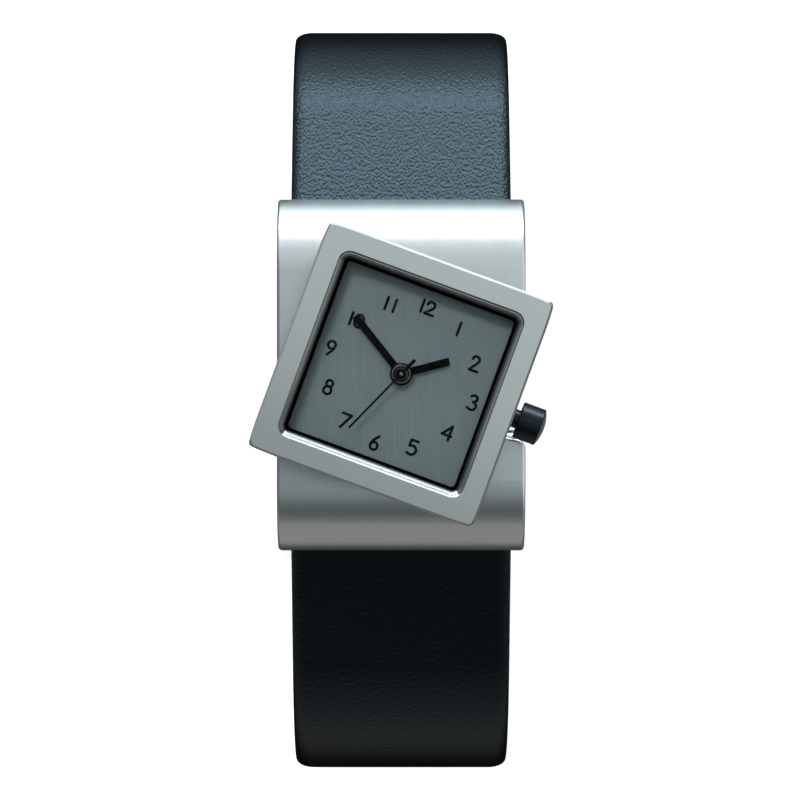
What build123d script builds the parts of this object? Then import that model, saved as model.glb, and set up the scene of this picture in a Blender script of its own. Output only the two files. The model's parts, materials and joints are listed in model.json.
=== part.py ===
from build123d import *

import math
import os

# A square wristwatch. Its square head turns flat on a curved steel base plate, and a leather
# strap closes in a loop below the plate. Sizes are in millimetres, angles in degrees.
# The watch stands on its buckle side: the table is z = 0, the dial faces up, and +Y points
# to the strap half beside 12 o'clock.

os.makedirs("parts", exist_ok=True)

# Whole watch
deck_height = 50.7
reach_12 = 36.05
reach_6 = 41.3
head_angle = 20.2
head_gap = 0.3
running_fit = 0.03
seat_gap = 0.05
overrun = 1.0

# Base plate
base_length = 34.9
base_overhang = 1.25
base_thick = 1.6
bend_radius = 7.25
bend_angle = 75
base_edge_round = 0.35
base_end_round = 0.25
notch_length = 12.5
notch_depth = 2.4
notch_corner = 1.15
ear_thick = 0.9
ear_radius = 1.5
ear_gap = 0.25

# Pivot that carries the head
hub_radius = 2.0
hub_flange_radius = 3.4
hub_flange_thick = 0.4
hub_socket_width = 1.6
hub_socket_depth = 1.0
bush_wall = 0.9
bush_flange_radius = 4.2
bush_flange_thick = 0.4
thrust_radius = 5.5
thrust_thick = 0.25
wave_radius = 3.8
wave_thick = 0.3
wave_rise = 0.12
nut_radius = 3.8
nut_thick = 0.9
nut_slot_width = 0.8
nut_slot_depth = 0.4

# Cover over the pivot, on the wrist side
cover_width = 17.6
cover_length = 18.0
cover_corner = 2.2
cover_wall = 0.9
cover_floor = 0.7
cover_edge_round = 0.4
cover_boss_radius = 1.3
cover_screw_inset = 1.8

# Small screws: shank radius, head radius, head height, slot width and slot depth
screw_shank = 0.4
screw_head = 0.75
screw_head_thick = 0.25
screw_slot = 0.2
screw_slot_depth = 0.12
cover_screw_grip = 1.0
back_screw_grip = 2.0
movement_screw_grip = 1.2

# Spring bars
bar_reach = 14.0
bar_drop = 7.05
bar_radius = 0.75
bar_tip_radius = 0.4
bar_bore_gap = 0.05
bar_end_gap = 0.1

# Strap leather
strap_width = 22.0
leather_top = 1.1
leather_lining = 0.9
exit_angle_12 = 32
exit_angle_6 = 27
shoulder_12 = 20.0
shoulder_6 = 22.0
layer_gap = 0.4
tail_end = 19.0
tail_round = 8.0
hole_pitch = 6.5
hole_radius = 0.95
hole_steps = (-1, 1, 2, 3)
used_hole_length = 6.0
used_hole_width = 2.4

# Keepers
keeper_wall = 1.1
keeper_gap = 0.2
keeper_width = 5.0
keeper_round = 0.4
fixed_keeper_start = 0.0
sliding_keeper_start = 7.5

# Buckle
buckle_bar_reach = 6.9
buckle_bar_radius = 0.6
buckle_tip_radius = 0.35
buckle_loop_wall = 0.75
buckle_loop_gap = 0.2
frame_length = 11.0
frame_radius = 1.15
rail_width = 2.0
rail_gap = 0.2
rail_tip_depth = 1.2
approach_rise = 1.2
step_angle = 20
tongue_width = 1.8
tongue_thick = 0.85
tongue_eye_wall = 0.5
tongue_overhang = 0.8
tongue_side_gap = 0.2
tongue_roof = 0.85

# Head shell
head_side = 23.34
corner_run = 3.0
corner_pull = 0.12
case_corner = 0.3
bezel_corner = 0.65
cavity_side = 18.2
cavity_corner = 1.0
case_top = 5.3
bezel_top = 6.8
bezel_opening = 19.1
bezel_inner_bevel = 0.6
bezel_step_depth = 0.24
bezel_step_width = 0.06
bezel_outer_bevel = 0.22
opening_corner = 0.6
gasket_wall = 0.05
crystal_drop = 0.6
crystal_bevel = 0.08
ring_opening = 17.2
ring_corner = 0.35
back_thick = 0.9
back_side = 22.6
back_corner = 0.6
back_screw_inset = 1.05
back_gasket_outer = 20.2
back_gasket_wall = 0.4
back_gasket_thick = 0.3
dial_bottom = 3.7
dial_thick = 0.4
dial_hole = 0.8
shell_gap = 0.05

# Crown and stem
stem_height = 2.35
stem_shift = -0.2
stem_radius = 0.45
stem_inner_radius = 0.3
stem_groove_radius = 0.2
stem_inner_end = 4.3
stem_shoulder = 9.0
groove_start = 5.9
groove_length = 1.2
tube_radius = 0.92
tube_wall = 0.3
tube_beyond = 0.5
crown_gap = 0.6
crown_radius = 1.83
crown_length = 2.25
crown_dome = 0.42
crown_edge_round = 0.12
crown_recess_depth = 0.8
crown_recess_gap = 0.1
crown_pull = 0.8
seal_length = 0.35
seal_place = 10.4

# Movement plates
movement_width = 17.4
movement_height = 15.3
movement_corner = 2.0
bridge_bottom = 1.1
bridge_thick = 0.35
plate_bottom = 2.75
plate_thick = 0.4
pillar_radius = 0.7
pillar_shares = ((-0.85, 0.84), (-0.85, -0.84), (0.02, -0.86))
holder_gap = 0.05

# Battery, coil, stator and board
battery_right = 5.2
battery_below = 4.2
battery_radius = 3.4
battery_bottom = 1.08
battery_thick = 1.6
battery_step = 0.4
battery_room = 0.1
clamp_width = 2.4
clamp_thick = 0.12
coil_place = -7.5
coil_height = 2.1
coil_radius = 0.6
coil_length = 8.6
core_width = 0.6
core_thick = 0.35
core_length = 11.0
stator_thick = 0.2
stator_leg = 1.0
stator_bore_gap = 0.1
board_right = 6.2
board_above = 3.4
board_width = 4.4
board_length = 4.6
board_bottom = 2.5
board_thick = 0.2
can_radius = 0.48
can_length = 3.8
lever_right = 7.2
lever_above = 0.1
lever_length = 2.4
lever_width = 1.1
lever_drop = 0.06
lever_thick = 0.18
peg_radius = 0.14

# Gear train: directions between the arbors, tooth counts, modules, and the height of each ring
third_angle = 90
intermediate_angle = 205
rotor_angle = 240
motion_angle = -50
addendum_share = 1.0
dedendum_share = 1.25
tooth_root_share = 0.3
tooth_tip_share = 0.11
wheel_thick = 0.15
pinion_overlap = 0.05
fine_module = 0.09
third_module = 0.1
cannon_module = 0.1
rotor_teeth = 8
intermediate_teeth = 60
intermediate_pinion_teeth = 15
seconds_teeth = 60
seconds_pinion_teeth = 8
third_teeth = 60
third_pinion_teeth = 8
centre_teeth = 64
cannon_teeth = 12
motion_teeth = 36
motion_pinion_teeth = 10
hour_teeth = 40
seconds_level = 1.55
third_level = 1.8
intermediate_level = 2.1
centre_level = 2.45
motion_level = 3.2
hour_level = 3.45
arbor_radius = 0.12
magnet_radius = 0.7
magnet_bottom = 1.6
magnet_thick = 0.3
seconds_arbor_radius = 0.15
centre_hub_radius = 0.3
cannon_pipe_radius = 0.45
hour_pipe_wall = 0.2
pipe_gap = 0.04

# Hands, with the angles that they show, clockwise from 12
hour_angle = 55.1
minute_angle = 301.5
second_angle = 204.1
hour_length = 4.85
hour_width = 0.78
minute_length = 7.18
minute_width = 0.73
hub_disc_radius = 1.1
second_length = 7.28
second_width = 0.2
second_tail = 1.94
second_tail_width = 0.34
second_disc_radius = 0.56
second_cap_radius = 0.25
hand_thick = 0.15
second_thick = 0.1
hour_hand_level = 4.35
minute_hand_level = 4.65
second_hand_level = 4.95

# Places and sizes that follow from the ones above
pivot_y = (reach_6 - reach_12) / 2
deck = Plane(origin=(0, pivot_y, deck_height))
table = Plane(origin=(0, pivot_y, 0))
side_12 = Plane(origin=(0, pivot_y, deck_height), x_dir=(0, 1, 0), z_dir=(1, 0, 0))
side_6 = Plane(origin=(0, pivot_y, deck_height), x_dir=(0, -1, 0), z_dir=(-1, 0, 0))
head = deck.offset(head_gap).rotated((0, 0, -head_angle))
stem_axis = Plane(
    origin=head.from_local_coords((0, stem_shift, stem_height)), x_dir=head.y_dir, z_dir=head.x_dir
)
strap_thick = leather_top + leather_lining
base_width = strap_width + 2 * base_overhang
bar_bore = bar_radius + bar_bore_gap
strap_end_radius = bar_bore + leather_top
bar_spot = (bar_reach, -bar_drop)
tail_floor = keeper_wall + keeper_gap
short_floor = tail_floor + strap_thick + layer_gap
approach_floor = tail_floor + approach_rise
buckle_bore = buckle_bar_radius + bar_bore_gap
buckle_loop_radius = buckle_bore + buckle_loop_wall
buckle_bar_height = tail_floor + strap_thick + buckle_loop_gap + buckle_loop_radius
bar_place = (buckle_bar_reach, buckle_bar_height - deck_height)
end_place = (buckle_bar_reach + frame_length, frame_radius - deck_height)
frame_slope = math.degrees(math.atan2(bar_place[1] - end_place[1], frame_length))
bezel_well = bezel_opening - 2 * bezel_inner_bevel
step_inset = bezel_step_depth - bezel_step_width
step_side = bezel_opening - 2 * step_inset
crystal_side = bezel_well - 2 * gasket_wall
crystal_top = bezel_top - crystal_drop
dial_side = cavity_side - 4 * shell_gap
case_half = head_side / 2
crown_start = case_half + crown_gap
nut_floor = base_thick + bush_flange_thick + wave_thick + nut_thick + 3 * seat_gap


def keep(piece, name):
    """Label a finished piece and write it under its own name."""
    piece.part.label = name
    export_step(piece.part, f"parts/{name}.step")


def stack(plane, steps, centre=(0, 0), mode=Mode.ADD):
    """Round steps on one axis, each a radius, a bottom and a top above the plane."""
    for radius, bottom, top in steps:
        with BuildSketch(plane.offset(bottom)) as step:
            with Locations(centre):
                Circle(radius)
        extrude(step.sketch, amount=top - bottom, mode=mode)


def block(plane, size, corner, bottom, top, centre=(0, 0), mode=Mode.ADD):
    """A flat block with rounded corners, from one height above the plane to another."""
    with BuildSketch(plane.offset(bottom)) as outline:
        with Locations(centre):
            RectangleRounded(*size, corner)
    extrude(outline.sketch, amount=top - bottom, mode=mode)


def head_outline(corner):
    """The head's plan: straight sides that curve in a little before each rounded corner."""
    turn_point = (case_half - corner_pull, case_half - corner_pull)
    with BuildLine() as sides:
        upper = Line((0, case_half), (case_half - corner_run, case_half))
        TangentArc(upper @ 1, turn_point, tangent=(1, 0))
        right = Line((case_half, 0), (case_half, case_half - corner_run))
        TangentArc(right @ 1, turn_point, tangent=(0, 1))
        mirror(about=Plane.YZ)
        mirror(about=Plane.XZ)
    make_face(sides.edges())
    fillet(vertices().sort_by_distance((0, 0))[-4:], corner)


def screws(plane, spots, grip):
    """Slotted screws: the heads start on the plane and the shanks rise from them."""
    for radius, length in ((screw_head, screw_head_thick), (screw_shank, screw_head_thick + grip)):
        with BuildSketch(plane) as rounds:
            with Locations(*spots):
                Circle(radius)
        extrude(rounds.sketch, amount=length)
    with BuildSketch(plane) as slots:
        with Locations(*spots):
            Rectangle(2 * screw_head, screw_slot)
    extrude(slots.sketch, amount=screw_slot_depth, mode=Mode.SUBTRACT)


def screw_holes(plane, spots, grip):
    """The room of a set of screws, cut from the piece that they hold."""
    for radius, depth in ((screw_head, screw_head_thick), (screw_shank, screw_head_thick + grip)):
        with BuildSketch(plane) as rounds:
            with Locations(*spots):
                Circle(radius)
        extrude(rounds.sketch, amount=depth, mode=Mode.SUBTRACT)


def leather_edge(start, heading, legs, inset):
    """Draw one face line of a strap half, inset from its outer face, and return its two ends.

    A leg is a length and 0, or a radius and a turn, positive towards the wrist."""
    across = math.radians(heading - 90)
    point = Vector(*start) + Vector(math.cos(across), math.sin(across)) * inset
    first = point
    for size, turn in legs:
        if turn == 0:
            edge = PolarLine(point, size, heading)
        else:
            radius = size - inset if turn > 0 else size + inset
            edge = JernArc(point, (math.cos(math.radians(heading)), math.sin(math.radians(heading))),
                           radius, -turn)
        heading -= turn
        point = edge @ 1
    return first, point


def leather_face(start, heading, legs, outer, inner):
    """The side view of one leather layer between two insets from the strap's outer face."""
    with BuildLine() as layer:
        outer_first, outer_last = leather_edge(start, heading, legs, outer)
        inner_first, inner_last = leather_edge(start, heading, legs, inner)
        Line(outer_first, inner_first)
        Line(outer_last, inner_last)
    make_face(layer.edges())


def upper_legs(reach, exit_angle, shoulder, floor):
    """Where a strap half leaves its spring bar, and its legs down to the flat run.

    The last value is how far from the pivot the flat run starts."""
    lean = math.radians(exit_angle)
    start = (
        bar_reach + strap_end_radius * math.sin(lean),
        -bar_drop + strap_end_radius * math.cos(lean),
    )
    slope = (reach - shoulder * (1 - math.sin(lean)) - start[0]) / math.cos(lean)
    widest = start[1] - slope * math.sin(lean) - shoulder * math.cos(lean)
    lower = deck_height + widest - floor
    return start, [(slope, 0), (shoulder, 90 - exit_angle), (lower, 90)], reach - lower


def toothed_ring(plane, teeth, module, first_tooth, bottom, thick, centre=(0, 0)):
    """A disc of straight-flanked teeth, with one tooth's middle at the given angle."""
    pitch = 360 / teeth
    tip = module * (teeth / 2 + addendum_share)
    root = module * (teeth / 2 - dedendum_share)
    flanks = (
        (root, -tooth_root_share),
        (tip, -tooth_tip_share),
        (tip, tooth_tip_share),
        (root, tooth_root_share),
    )
    corners = []
    for tooth in range(teeth):
        for radius, share in flanks:
            angle = math.radians(first_tooth + pitch * (tooth + share))
            corners.append((radius * math.cos(angle), radius * math.sin(angle)))
    with BuildSketch(plane.offset(bottom)) as ring:
        with Locations(centre):
            Polygon(*corners, align=None)
    extrude(ring.sketch, amount=thick)


def spot_from(start, distance, angle):
    """The point at a distance and an angle from another point."""
    turn = math.radians(angle)
    return (start[0] + distance * math.cos(turn), start[1] + distance * math.sin(turn))


def gap_towards(angle, teeth):
    """First tooth angle that leaves a gap facing back along the given direction."""
    return angle + 180 + 180 / teeth


# Base plate: flat under the head, bent down at both ends, notched for the crown, with two
# pairs of hidden ears for the spring bars
bend_centre = base_length / 2 - bend_radius * math.sin(math.radians(bend_angle))
ear_inner = strap_width / 2 + ear_gap
with BuildPart() as base_plate:
    with BuildSketch(side_12):
        with BuildLine():
            middle = Line((0, 0), (bend_centre, 0))
            outer_bend = JernArc(middle @ 1, (1, 0), bend_radius, -bend_angle)
            inner_start = (bend_centre, -base_thick)
            inner_bend = JernArc(inner_start, (1, 0), bend_radius - base_thick, -bend_angle)
            Line(outer_bend @ 1, inner_bend @ 1)
            Line(inner_start, (0, -base_thick))
            mirror(about=Plane.YZ)
        make_face()
    extrude(amount=base_width / 2, both=True)
    with BuildSketch(deck.offset(-base_thick)):
        with Locations((base_width / 2, 0)):
            Rectangle(2 * notch_depth, notch_length)
    extrude(amount=base_thick, mode=Mode.SUBTRACT)
    notch_edges = base_plate.edges().filter_by(Axis.Z)
    fillet(notch_edges, notch_corner)
    deck_rim = base_plate.faces().sort_by(Axis.Z)[-1].edges()
    bends = base_plate.faces().filter_by(GeomType.CYLINDER).filter_by(
        lambda face: abs(face.radius - bend_radius) < running_fit
    )
    rim = deck_rim.filter_by(lambda edge: abs(edge.center().X) > running_fit)
    rim += bends.edges().filter_by(GeomType.CIRCLE)
    fillet(rim, base_edge_round)
    for side in (side_12, side_6):
        for ear_plane in (side.offset(ear_inner), side.offset(-ear_inner - ear_thick)):
            with BuildSketch(ear_plane):
                with Locations((bend_centre, -bend_radius)):
                    Circle(bend_radius - base_thick / 2)
                with Locations(bar_spot):
                    Rectangle(2 * ear_radius, 2 * bend_radius, align=(Align.CENTER, Align.MIN),
                              mode=Mode.INTERSECT)
                    Circle(ear_radius)
            extrude(amount=ear_thick)
            with BuildSketch(ear_plane):
                with Locations(bar_spot):
                    Circle(bar_tip_radius)
            extrude(amount=ear_thick, mode=Mode.SUBTRACT)
    bush_radius = hub_radius + running_fit + bush_wall
    stack(deck, [(bush_radius, -base_thick, 0)], mode=Mode.SUBTRACT)
    cover_spot_x = cover_width / 2 - cover_screw_inset
    cover_spot_y = cover_length / 2 - cover_screw_inset
    cover_spots = [(x, y) for x in (-cover_spot_x, cover_spot_x) for y in (-cover_spot_y, cover_spot_y)]
    with BuildSketch(deck.offset(-base_thick)):
        with Locations(*cover_spots):
            Circle(screw_shank)
    extrude(amount=cover_screw_grip, mode=Mode.SUBTRACT)
keep(base_plate, "base_plate")

# Bush that lines the hole in the base plate, with its flange below
with BuildPart() as pivot_bush:
    flange_floor = -base_thick - bush_flange_thick
    stack(deck, [(bush_radius, -base_thick, 0), (bush_flange_radius, flange_floor, -base_thick)])
    stack(deck, [(hub_radius + running_fit, flange_floor, 0)], mode=Mode.SUBTRACT)
keep(pivot_bush, "pivot_bush")

# Hub: a flange held in the case back and a post down through the bush, with a key socket
hub_end = head_gap + nut_floor
with BuildPart() as pivot_hub:
    stack(head, [(hub_flange_radius, back_thick - hub_flange_thick, back_thick),
                 (hub_radius, -hub_end, back_thick)])
    with BuildSketch(head.offset(-hub_end)):
        RegularPolygon(hub_socket_width / 2, 6)
    extrude(amount=hub_socket_depth, mode=Mode.SUBTRACT)
keep(pivot_hub, "pivot_hub")

# Thrust washer between the head and the base plate
with BuildPart() as thrust_washer:
    stack(head, [(thrust_radius, -thrust_thick, 0)])
    stack(head, [(hub_radius, -thrust_thick, 0)], mode=Mode.SUBTRACT)
keep(thrust_washer, "thrust_washer")

# Wave washer: a thin spring ring bent by two shallow waves, below the bush
with BuildPart() as wave_washer:
    wave_floor = -base_thick - bush_flange_thick - seat_gap - wave_thick
    stack(deck, [(wave_radius, wave_floor, wave_floor + wave_thick - wave_rise)])
    stack(deck, [(hub_radius, wave_floor, wave_floor + wave_thick)], mode=Mode.SUBTRACT)
    with BuildSketch(deck.offset(wave_floor)):
        Circle(wave_radius)
        Circle(hub_radius, mode=Mode.SUBTRACT)
        Rectangle(hub_radius, 2 * wave_radius, mode=Mode.INTERSECT)
    extrude(amount=wave_thick)
keep(wave_washer, "wave_washer")

# Ring nut with slots for a pin key, screwed on the post
with BuildPart() as pivot_nut:
    stack(deck, [(nut_radius, -nut_floor, -nut_floor + nut_thick)])
    stack(deck, [(hub_radius, -nut_floor, -nut_floor + nut_thick)], mode=Mode.SUBTRACT)
    with BuildSketch(deck.offset(-nut_floor)):
        Rectangle(2 * nut_radius, nut_slot_width)
        Rectangle(nut_slot_width, 2 * nut_radius)
    extrude(amount=nut_slot_depth, mode=Mode.SUBTRACT)
keep(pivot_nut, "pivot_nut")

# Cover on the wrist side: a shallow tray over the nut, with a boss for each screw
cover_depth = nut_floor + seat_gap + cover_floor
with BuildPart() as wrist_cover:
    block(deck, (cover_width, cover_length), cover_corner, -cover_depth, -base_thick)
    fillet(wrist_cover.faces().sort_by(Axis.Z)[0].edges(), cover_edge_round)
    block(deck, (cover_width - 2 * cover_wall, cover_length - 2 * cover_wall),
          cover_corner - cover_wall, -cover_depth + cover_floor, -base_thick, mode=Mode.SUBTRACT)
    with BuildSketch(deck.offset(-cover_depth + cover_floor)):
        with Locations(*cover_spots):
            Circle(cover_boss_radius)
    extrude(amount=cover_depth - cover_floor - base_thick)
    screw_holes(deck.offset(-cover_depth), cover_spots, cover_depth)
keep(wrist_cover, "wrist_cover")

with BuildPart() as cover_screws:
    screws(deck.offset(-cover_depth), cover_spots,
           cover_depth - base_thick + cover_screw_grip - screw_head_thick)
keep(cover_screws, "cover_screws")

# Spring bars, each held by its two tips in the ears
for side, name in ((side_12, "spring_bar_12"), (side_6, "spring_bar_6")):
    with BuildPart() as spring_bar:
        for radius, half in (
            (bar_radius, ear_inner - bar_end_gap),
            (bar_tip_radius, ear_inner + ear_thick - bar_end_gap),
        ):
            with BuildSketch(side):
                with Locations(bar_spot):
                    Circle(radius)
            extrude(amount=half, both=True)
    keep(spring_bar, name)

# Short strap half, beside 12: it runs down, round and back to the buckle bar
start_12, legs_12, flat_12 = upper_legs(reach_12, exit_angle_12, shoulder_12, short_floor)
legs_12.append((flat_12 + buckle_bar_reach, 0))
buckle_spot = (-bar_place[0], bar_place[1])
slot_start = -buckle_bar_reach - buckle_loop_radius
tongue_slot = tongue_width + 2 * tongue_side_gap
with BuildPart() as strap_12_top:
    with BuildSketch(side_12):
        leather_face(start_12, -exit_angle_12, legs_12, 0, leather_top)
        with Locations(bar_spot):
            Circle(strap_end_radius)
            Circle(bar_bore, mode=Mode.SUBTRACT)
        with Locations(buckle_spot):
            Circle(buckle_loop_radius)
            Circle(buckle_bore, mode=Mode.SUBTRACT)
    extrude(amount=strap_width / 2, both=True)
    with BuildSketch(table):
        with Locations((0, slot_start)):
            Rectangle(tongue_slot, 2 * buckle_loop_radius + seat_gap, align=(Align.CENTER, Align.MIN))
    extrude(amount=short_floor + 2 * strap_thick, mode=Mode.SUBTRACT)
keep(strap_12_top, "strap_12_top")

with BuildPart() as strap_12_lining:
    with BuildSketch(side_12):
        leather_face(start_12, -exit_angle_12, legs_12, leather_top, strap_thick)
        with Locations(bar_spot):
            Circle(strap_end_radius, mode=Mode.SUBTRACT)
        with Locations(buckle_spot):
            Circle(buckle_loop_radius, mode=Mode.SUBTRACT)
    extrude(amount=strap_width / 2, both=True)
keep(strap_12_lining, "strap_12_lining")

# Long strap half, beside 6: its flat run steps down under the short half and ends in the tail
start_6, legs_6, flat_6 = upper_legs(reach_6, exit_angle_6, shoulder_6, approach_floor)
step_radius = approach_rise / (2 * (1 - math.cos(math.radians(step_angle))))
step_half = step_radius * math.sin(math.radians(step_angle))
used_hole = buckle_bar_reach + frame_length / 2
legs_6 += [
    (flat_6 - used_hole - step_half, 0),
    (step_radius, -step_angle),
    (step_radius, step_angle),
    (used_hole - step_half + tail_end, 0),
]
spare_holes = [(0, hole_pitch * step - used_hole) for step in hole_steps]


def punch_holes():
    """Cut the long hole that the tongue uses and the spare round holes."""
    with BuildSketch(table) as holes:
        with Locations((0, -used_hole)):
            SlotOverall(used_hole_length, used_hole_width, rotation=90)
        with Locations(*spare_holes):
            Circle(hole_radius)
    extrude(holes.sketch, amount=approach_floor + 2 * strap_thick, mode=Mode.SUBTRACT)


with BuildPart() as strap_6_top:
    with BuildSketch(side_6):
        leather_face(start_6, -exit_angle_6, legs_6, 0, leather_top)
        with Locations(bar_spot):
            Circle(strap_end_radius)
            Circle(bar_bore, mode=Mode.SUBTRACT)
    extrude(amount=strap_width / 2, both=True)
    fillet(strap_6_top.edges().filter_by(Axis.Z).group_by(Axis.Y)[-1], tail_round)
    punch_holes()
keep(strap_6_top, "strap_6_top")

with BuildPart() as strap_6_lining:
    with BuildSketch(side_6):
        leather_face(start_6, -exit_angle_6, legs_6, leather_top, strap_thick)
        with Locations(bar_spot):
            Circle(strap_end_radius, mode=Mode.SUBTRACT)
    extrude(amount=strap_width / 2, both=True)
    fillet(strap_6_lining.edges().filter_by(Axis.Z).group_by(Axis.Y)[-1], tail_round)
    punch_holes()
keep(strap_6_lining, "strap_6_lining")

# Keepers: two leather loops round both strap layers
window_width = strap_width + 2 * keeper_gap
window_height = short_floor + strap_thick - tail_floor + 2 * keeper_gap
for name, start in (("fixed_keeper", fixed_keeper_start), ("sliding_keeper", sliding_keeper_start)):
    with BuildPart() as keeper:
        with BuildSketch(Plane.XZ.offset(-pivot_y - start)):
            with Locations((0, keeper_wall + window_height / 2)):
                RectangleRounded(window_width + 2 * keeper_wall, window_height + 2 * keeper_wall,
                                 keeper_wall)
                Rectangle(window_width, window_height, mode=Mode.SUBTRACT)
        extrude(amount=-keeper_width)
        fillet(keeper.faces().filter_by(Axis.Y).edges(), keeper_round)
    keep(keeper, name)

# Buckle: a frame round the strap, the bar through the short half's end loop, and the tongue
rail_inner = strap_width / 2 + rail_gap
seat_top = 2 * frame_radius - tongue_roof - deck_height
seat_height = seat_top - seat_gap - tongue_thick / 2
tongue_slope = math.degrees(math.atan2(bar_place[1] - seat_height, frame_length))
tongue_line = Pos(*bar_place) * Rot(0, 0, -tongue_slope)
with BuildPart() as buckle_frame:
    rail_middle = ((bar_place[0] + end_place[0]) / 2, (bar_place[1] + end_place[1]) / 2)
    rail_length = math.hypot(frame_length, bar_place[1] - end_place[1])
    for rail_plane in (side_6.offset(rail_inner), side_6.offset(-rail_inner - rail_width)):
        with BuildSketch(rail_plane):
            with Locations(rail_middle):
                SlotCenterToCenter(rail_length, 2 * frame_radius, rotation=-frame_slope)
        extrude(amount=rail_width)
    with BuildSketch(side_6):
        with Locations(end_place):
            Circle(frame_radius)
    extrude(amount=rail_inner, both=True)
    with BuildSketch(side_6):
        with Locations(tongue_line):
            with Locations((frame_length - 2 * frame_radius, seat_gap + tongue_thick / 2)):
                Rectangle(4 * frame_radius, 4 * frame_radius, align=(Align.MIN, Align.MAX))
    extrude(amount=tongue_slot / 2, both=True, mode=Mode.SUBTRACT)
    for hole_plane in (side_6.offset(rail_inner), side_6.offset(-rail_inner - rail_tip_depth)):
        with BuildSketch(hole_plane):
            with Locations(bar_place):
                Circle(buckle_tip_radius)
        extrude(amount=rail_tip_depth, mode=Mode.SUBTRACT)
keep(buckle_frame, "buckle_frame")

with BuildPart() as buckle_bar:
    for radius, half in (
        (buckle_bar_radius, rail_inner - bar_end_gap),
        (buckle_tip_radius, rail_inner + rail_tip_depth - bar_end_gap),
    ):
        with BuildSketch(side_6):
            with Locations(bar_place):
                Circle(radius)
        extrude(amount=half, both=True)
keep(buckle_bar, "buckle_bar")

tongue_length = (frame_length + tongue_overhang) / math.cos(math.radians(tongue_slope))
with BuildPart() as buckle_tongue:
    with BuildSketch(side_6):
        with Locations(tongue_line):
            with Locations((tongue_length / 2, 0)):
                SlotCenterToCenter(tongue_length, tongue_thick)
            Circle(buckle_bore + tongue_eye_wall)
            Circle(buckle_bore, mode=Mode.SUBTRACT)
    extrude(amount=tongue_width / 2, both=True)
keep(buckle_tongue, "buckle_tongue")

# Case middle: the square body of the head, open above and below
back_spot = back_side / 2 - back_screw_inset
back_spots = [(x, y) for x in (-back_spot, back_spot) for y in (-back_spot, back_spot)]
with BuildPart() as case_middle:
    with BuildSketch(head.offset(back_thick)):
        head_outline(case_corner)
        RectangleRounded(cavity_side, cavity_side, cavity_corner, mode=Mode.SUBTRACT)
    extrude(amount=case_top - back_thick)
    stack(stem_axis, [(tube_radius, 0, case_half + overrun)], mode=Mode.SUBTRACT)
    screw_holes(head, back_spots, back_thick - screw_head_thick + back_screw_grip)
keep(case_middle, "case_middle")

# Frame on top of the case, with a bevel outside and a stepped bevel down to the crystal
with BuildPart() as bezel_frame:
    with BuildSketch(head.offset(case_top)):
        head_outline(bezel_corner)
        RectangleRounded(bezel_well, bezel_well, opening_corner, mode=Mode.SUBTRACT)
    extrude(amount=bezel_top - case_top)
    top_face = bezel_frame.faces().sort_by(Axis.Z)[-1]
    chamfer(top_face.inner_wires().edges(), bezel_inner_bevel)
    top_face = bezel_frame.faces().sort_by(Axis.Z)[-1]
    chamfer(top_face.outer_wire().edges(), bezel_outer_bevel)
    block(head, (step_side, step_side), opening_corner + bezel_inner_bevel - step_inset,
          bezel_top - bezel_step_depth, bezel_top, mode=Mode.SUBTRACT)
keep(bezel_frame, "bezel_frame")

# Crystal, its gasket, the black ring under it and the dial
with BuildPart() as crystal_gasket:
    block(head, (bezel_well, bezel_well), opening_corner, case_top, crystal_top - crystal_bevel)
    block(head, (crystal_side, crystal_side), opening_corner - gasket_wall, case_top,
          crystal_top - crystal_bevel, mode=Mode.SUBTRACT)
keep(crystal_gasket, "crystal_gasket")

with BuildPart() as crystal:
    block(head, (crystal_side, crystal_side), opening_corner - gasket_wall, case_top, crystal_top)
    chamfer(crystal.faces().sort_by(Axis.Z)[-1].edges(), crystal_bevel)
keep(crystal, "crystal")

with BuildPart() as dial_ring:
    block(head, (dial_side, dial_side), cavity_corner, dial_bottom + dial_thick, case_top)
    block(head, (ring_opening, ring_opening), ring_corner, dial_bottom + dial_thick, case_top,
          mode=Mode.SUBTRACT)
keep(dial_ring, "dial_ring")

with BuildPart() as dial:
    block(head, (dial_side, dial_side), cavity_corner, dial_bottom, dial_bottom + dial_thick)
    stack(head, [(dial_hole, dial_bottom, dial_bottom + dial_thick)], mode=Mode.SUBTRACT)
keep(dial, "dial")

# Case back with the hub's seat, its gasket in a groove, and its screws
gasket_inner = back_gasket_outer - 2 * back_gasket_wall
gasket_floor = back_thick - back_gasket_thick
with BuildPart() as case_back:
    block(head, (back_side, back_side), back_corner, 0, back_thick)
    with BuildSketch(head.offset(gasket_floor)):
        RectangleRounded(back_gasket_outer, back_gasket_outer, back_corner)
        RectangleRounded(gasket_inner, gasket_inner, back_corner, mode=Mode.SUBTRACT)
    extrude(amount=back_gasket_thick, mode=Mode.SUBTRACT)
    stack(head, [(hub_radius, 0, back_thick),
                 (hub_flange_radius, back_thick - hub_flange_thick, back_thick)], mode=Mode.SUBTRACT)
    screw_holes(head, back_spots, back_thick)
keep(case_back, "case_back")

with BuildPart() as case_back_gasket:
    with BuildSketch(head.offset(gasket_floor)):
        RectangleRounded(back_gasket_outer, back_gasket_outer, back_corner)
        RectangleRounded(gasket_inner, gasket_inner, back_corner, mode=Mode.SUBTRACT)
    extrude(amount=back_gasket_thick)
keep(case_back_gasket, "case_back_gasket")

with BuildPart() as case_back_screws:
    screws(head, back_spots, back_thick - screw_head_thick + back_screw_grip)
keep(case_back_screws, "case_back_screws")

# Crown tube through the case wall, the seal in it, the stem and the crown
tube_end = crown_start + tube_beyond
tube_bore = tube_radius - tube_wall
with BuildPart() as crown_tube:
    stack(stem_axis, [(tube_radius, cavity_side / 2, tube_end)])
    stack(stem_axis, [(tube_bore, cavity_side / 2, tube_end)], mode=Mode.SUBTRACT)
keep(crown_tube, "crown_tube")

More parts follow.
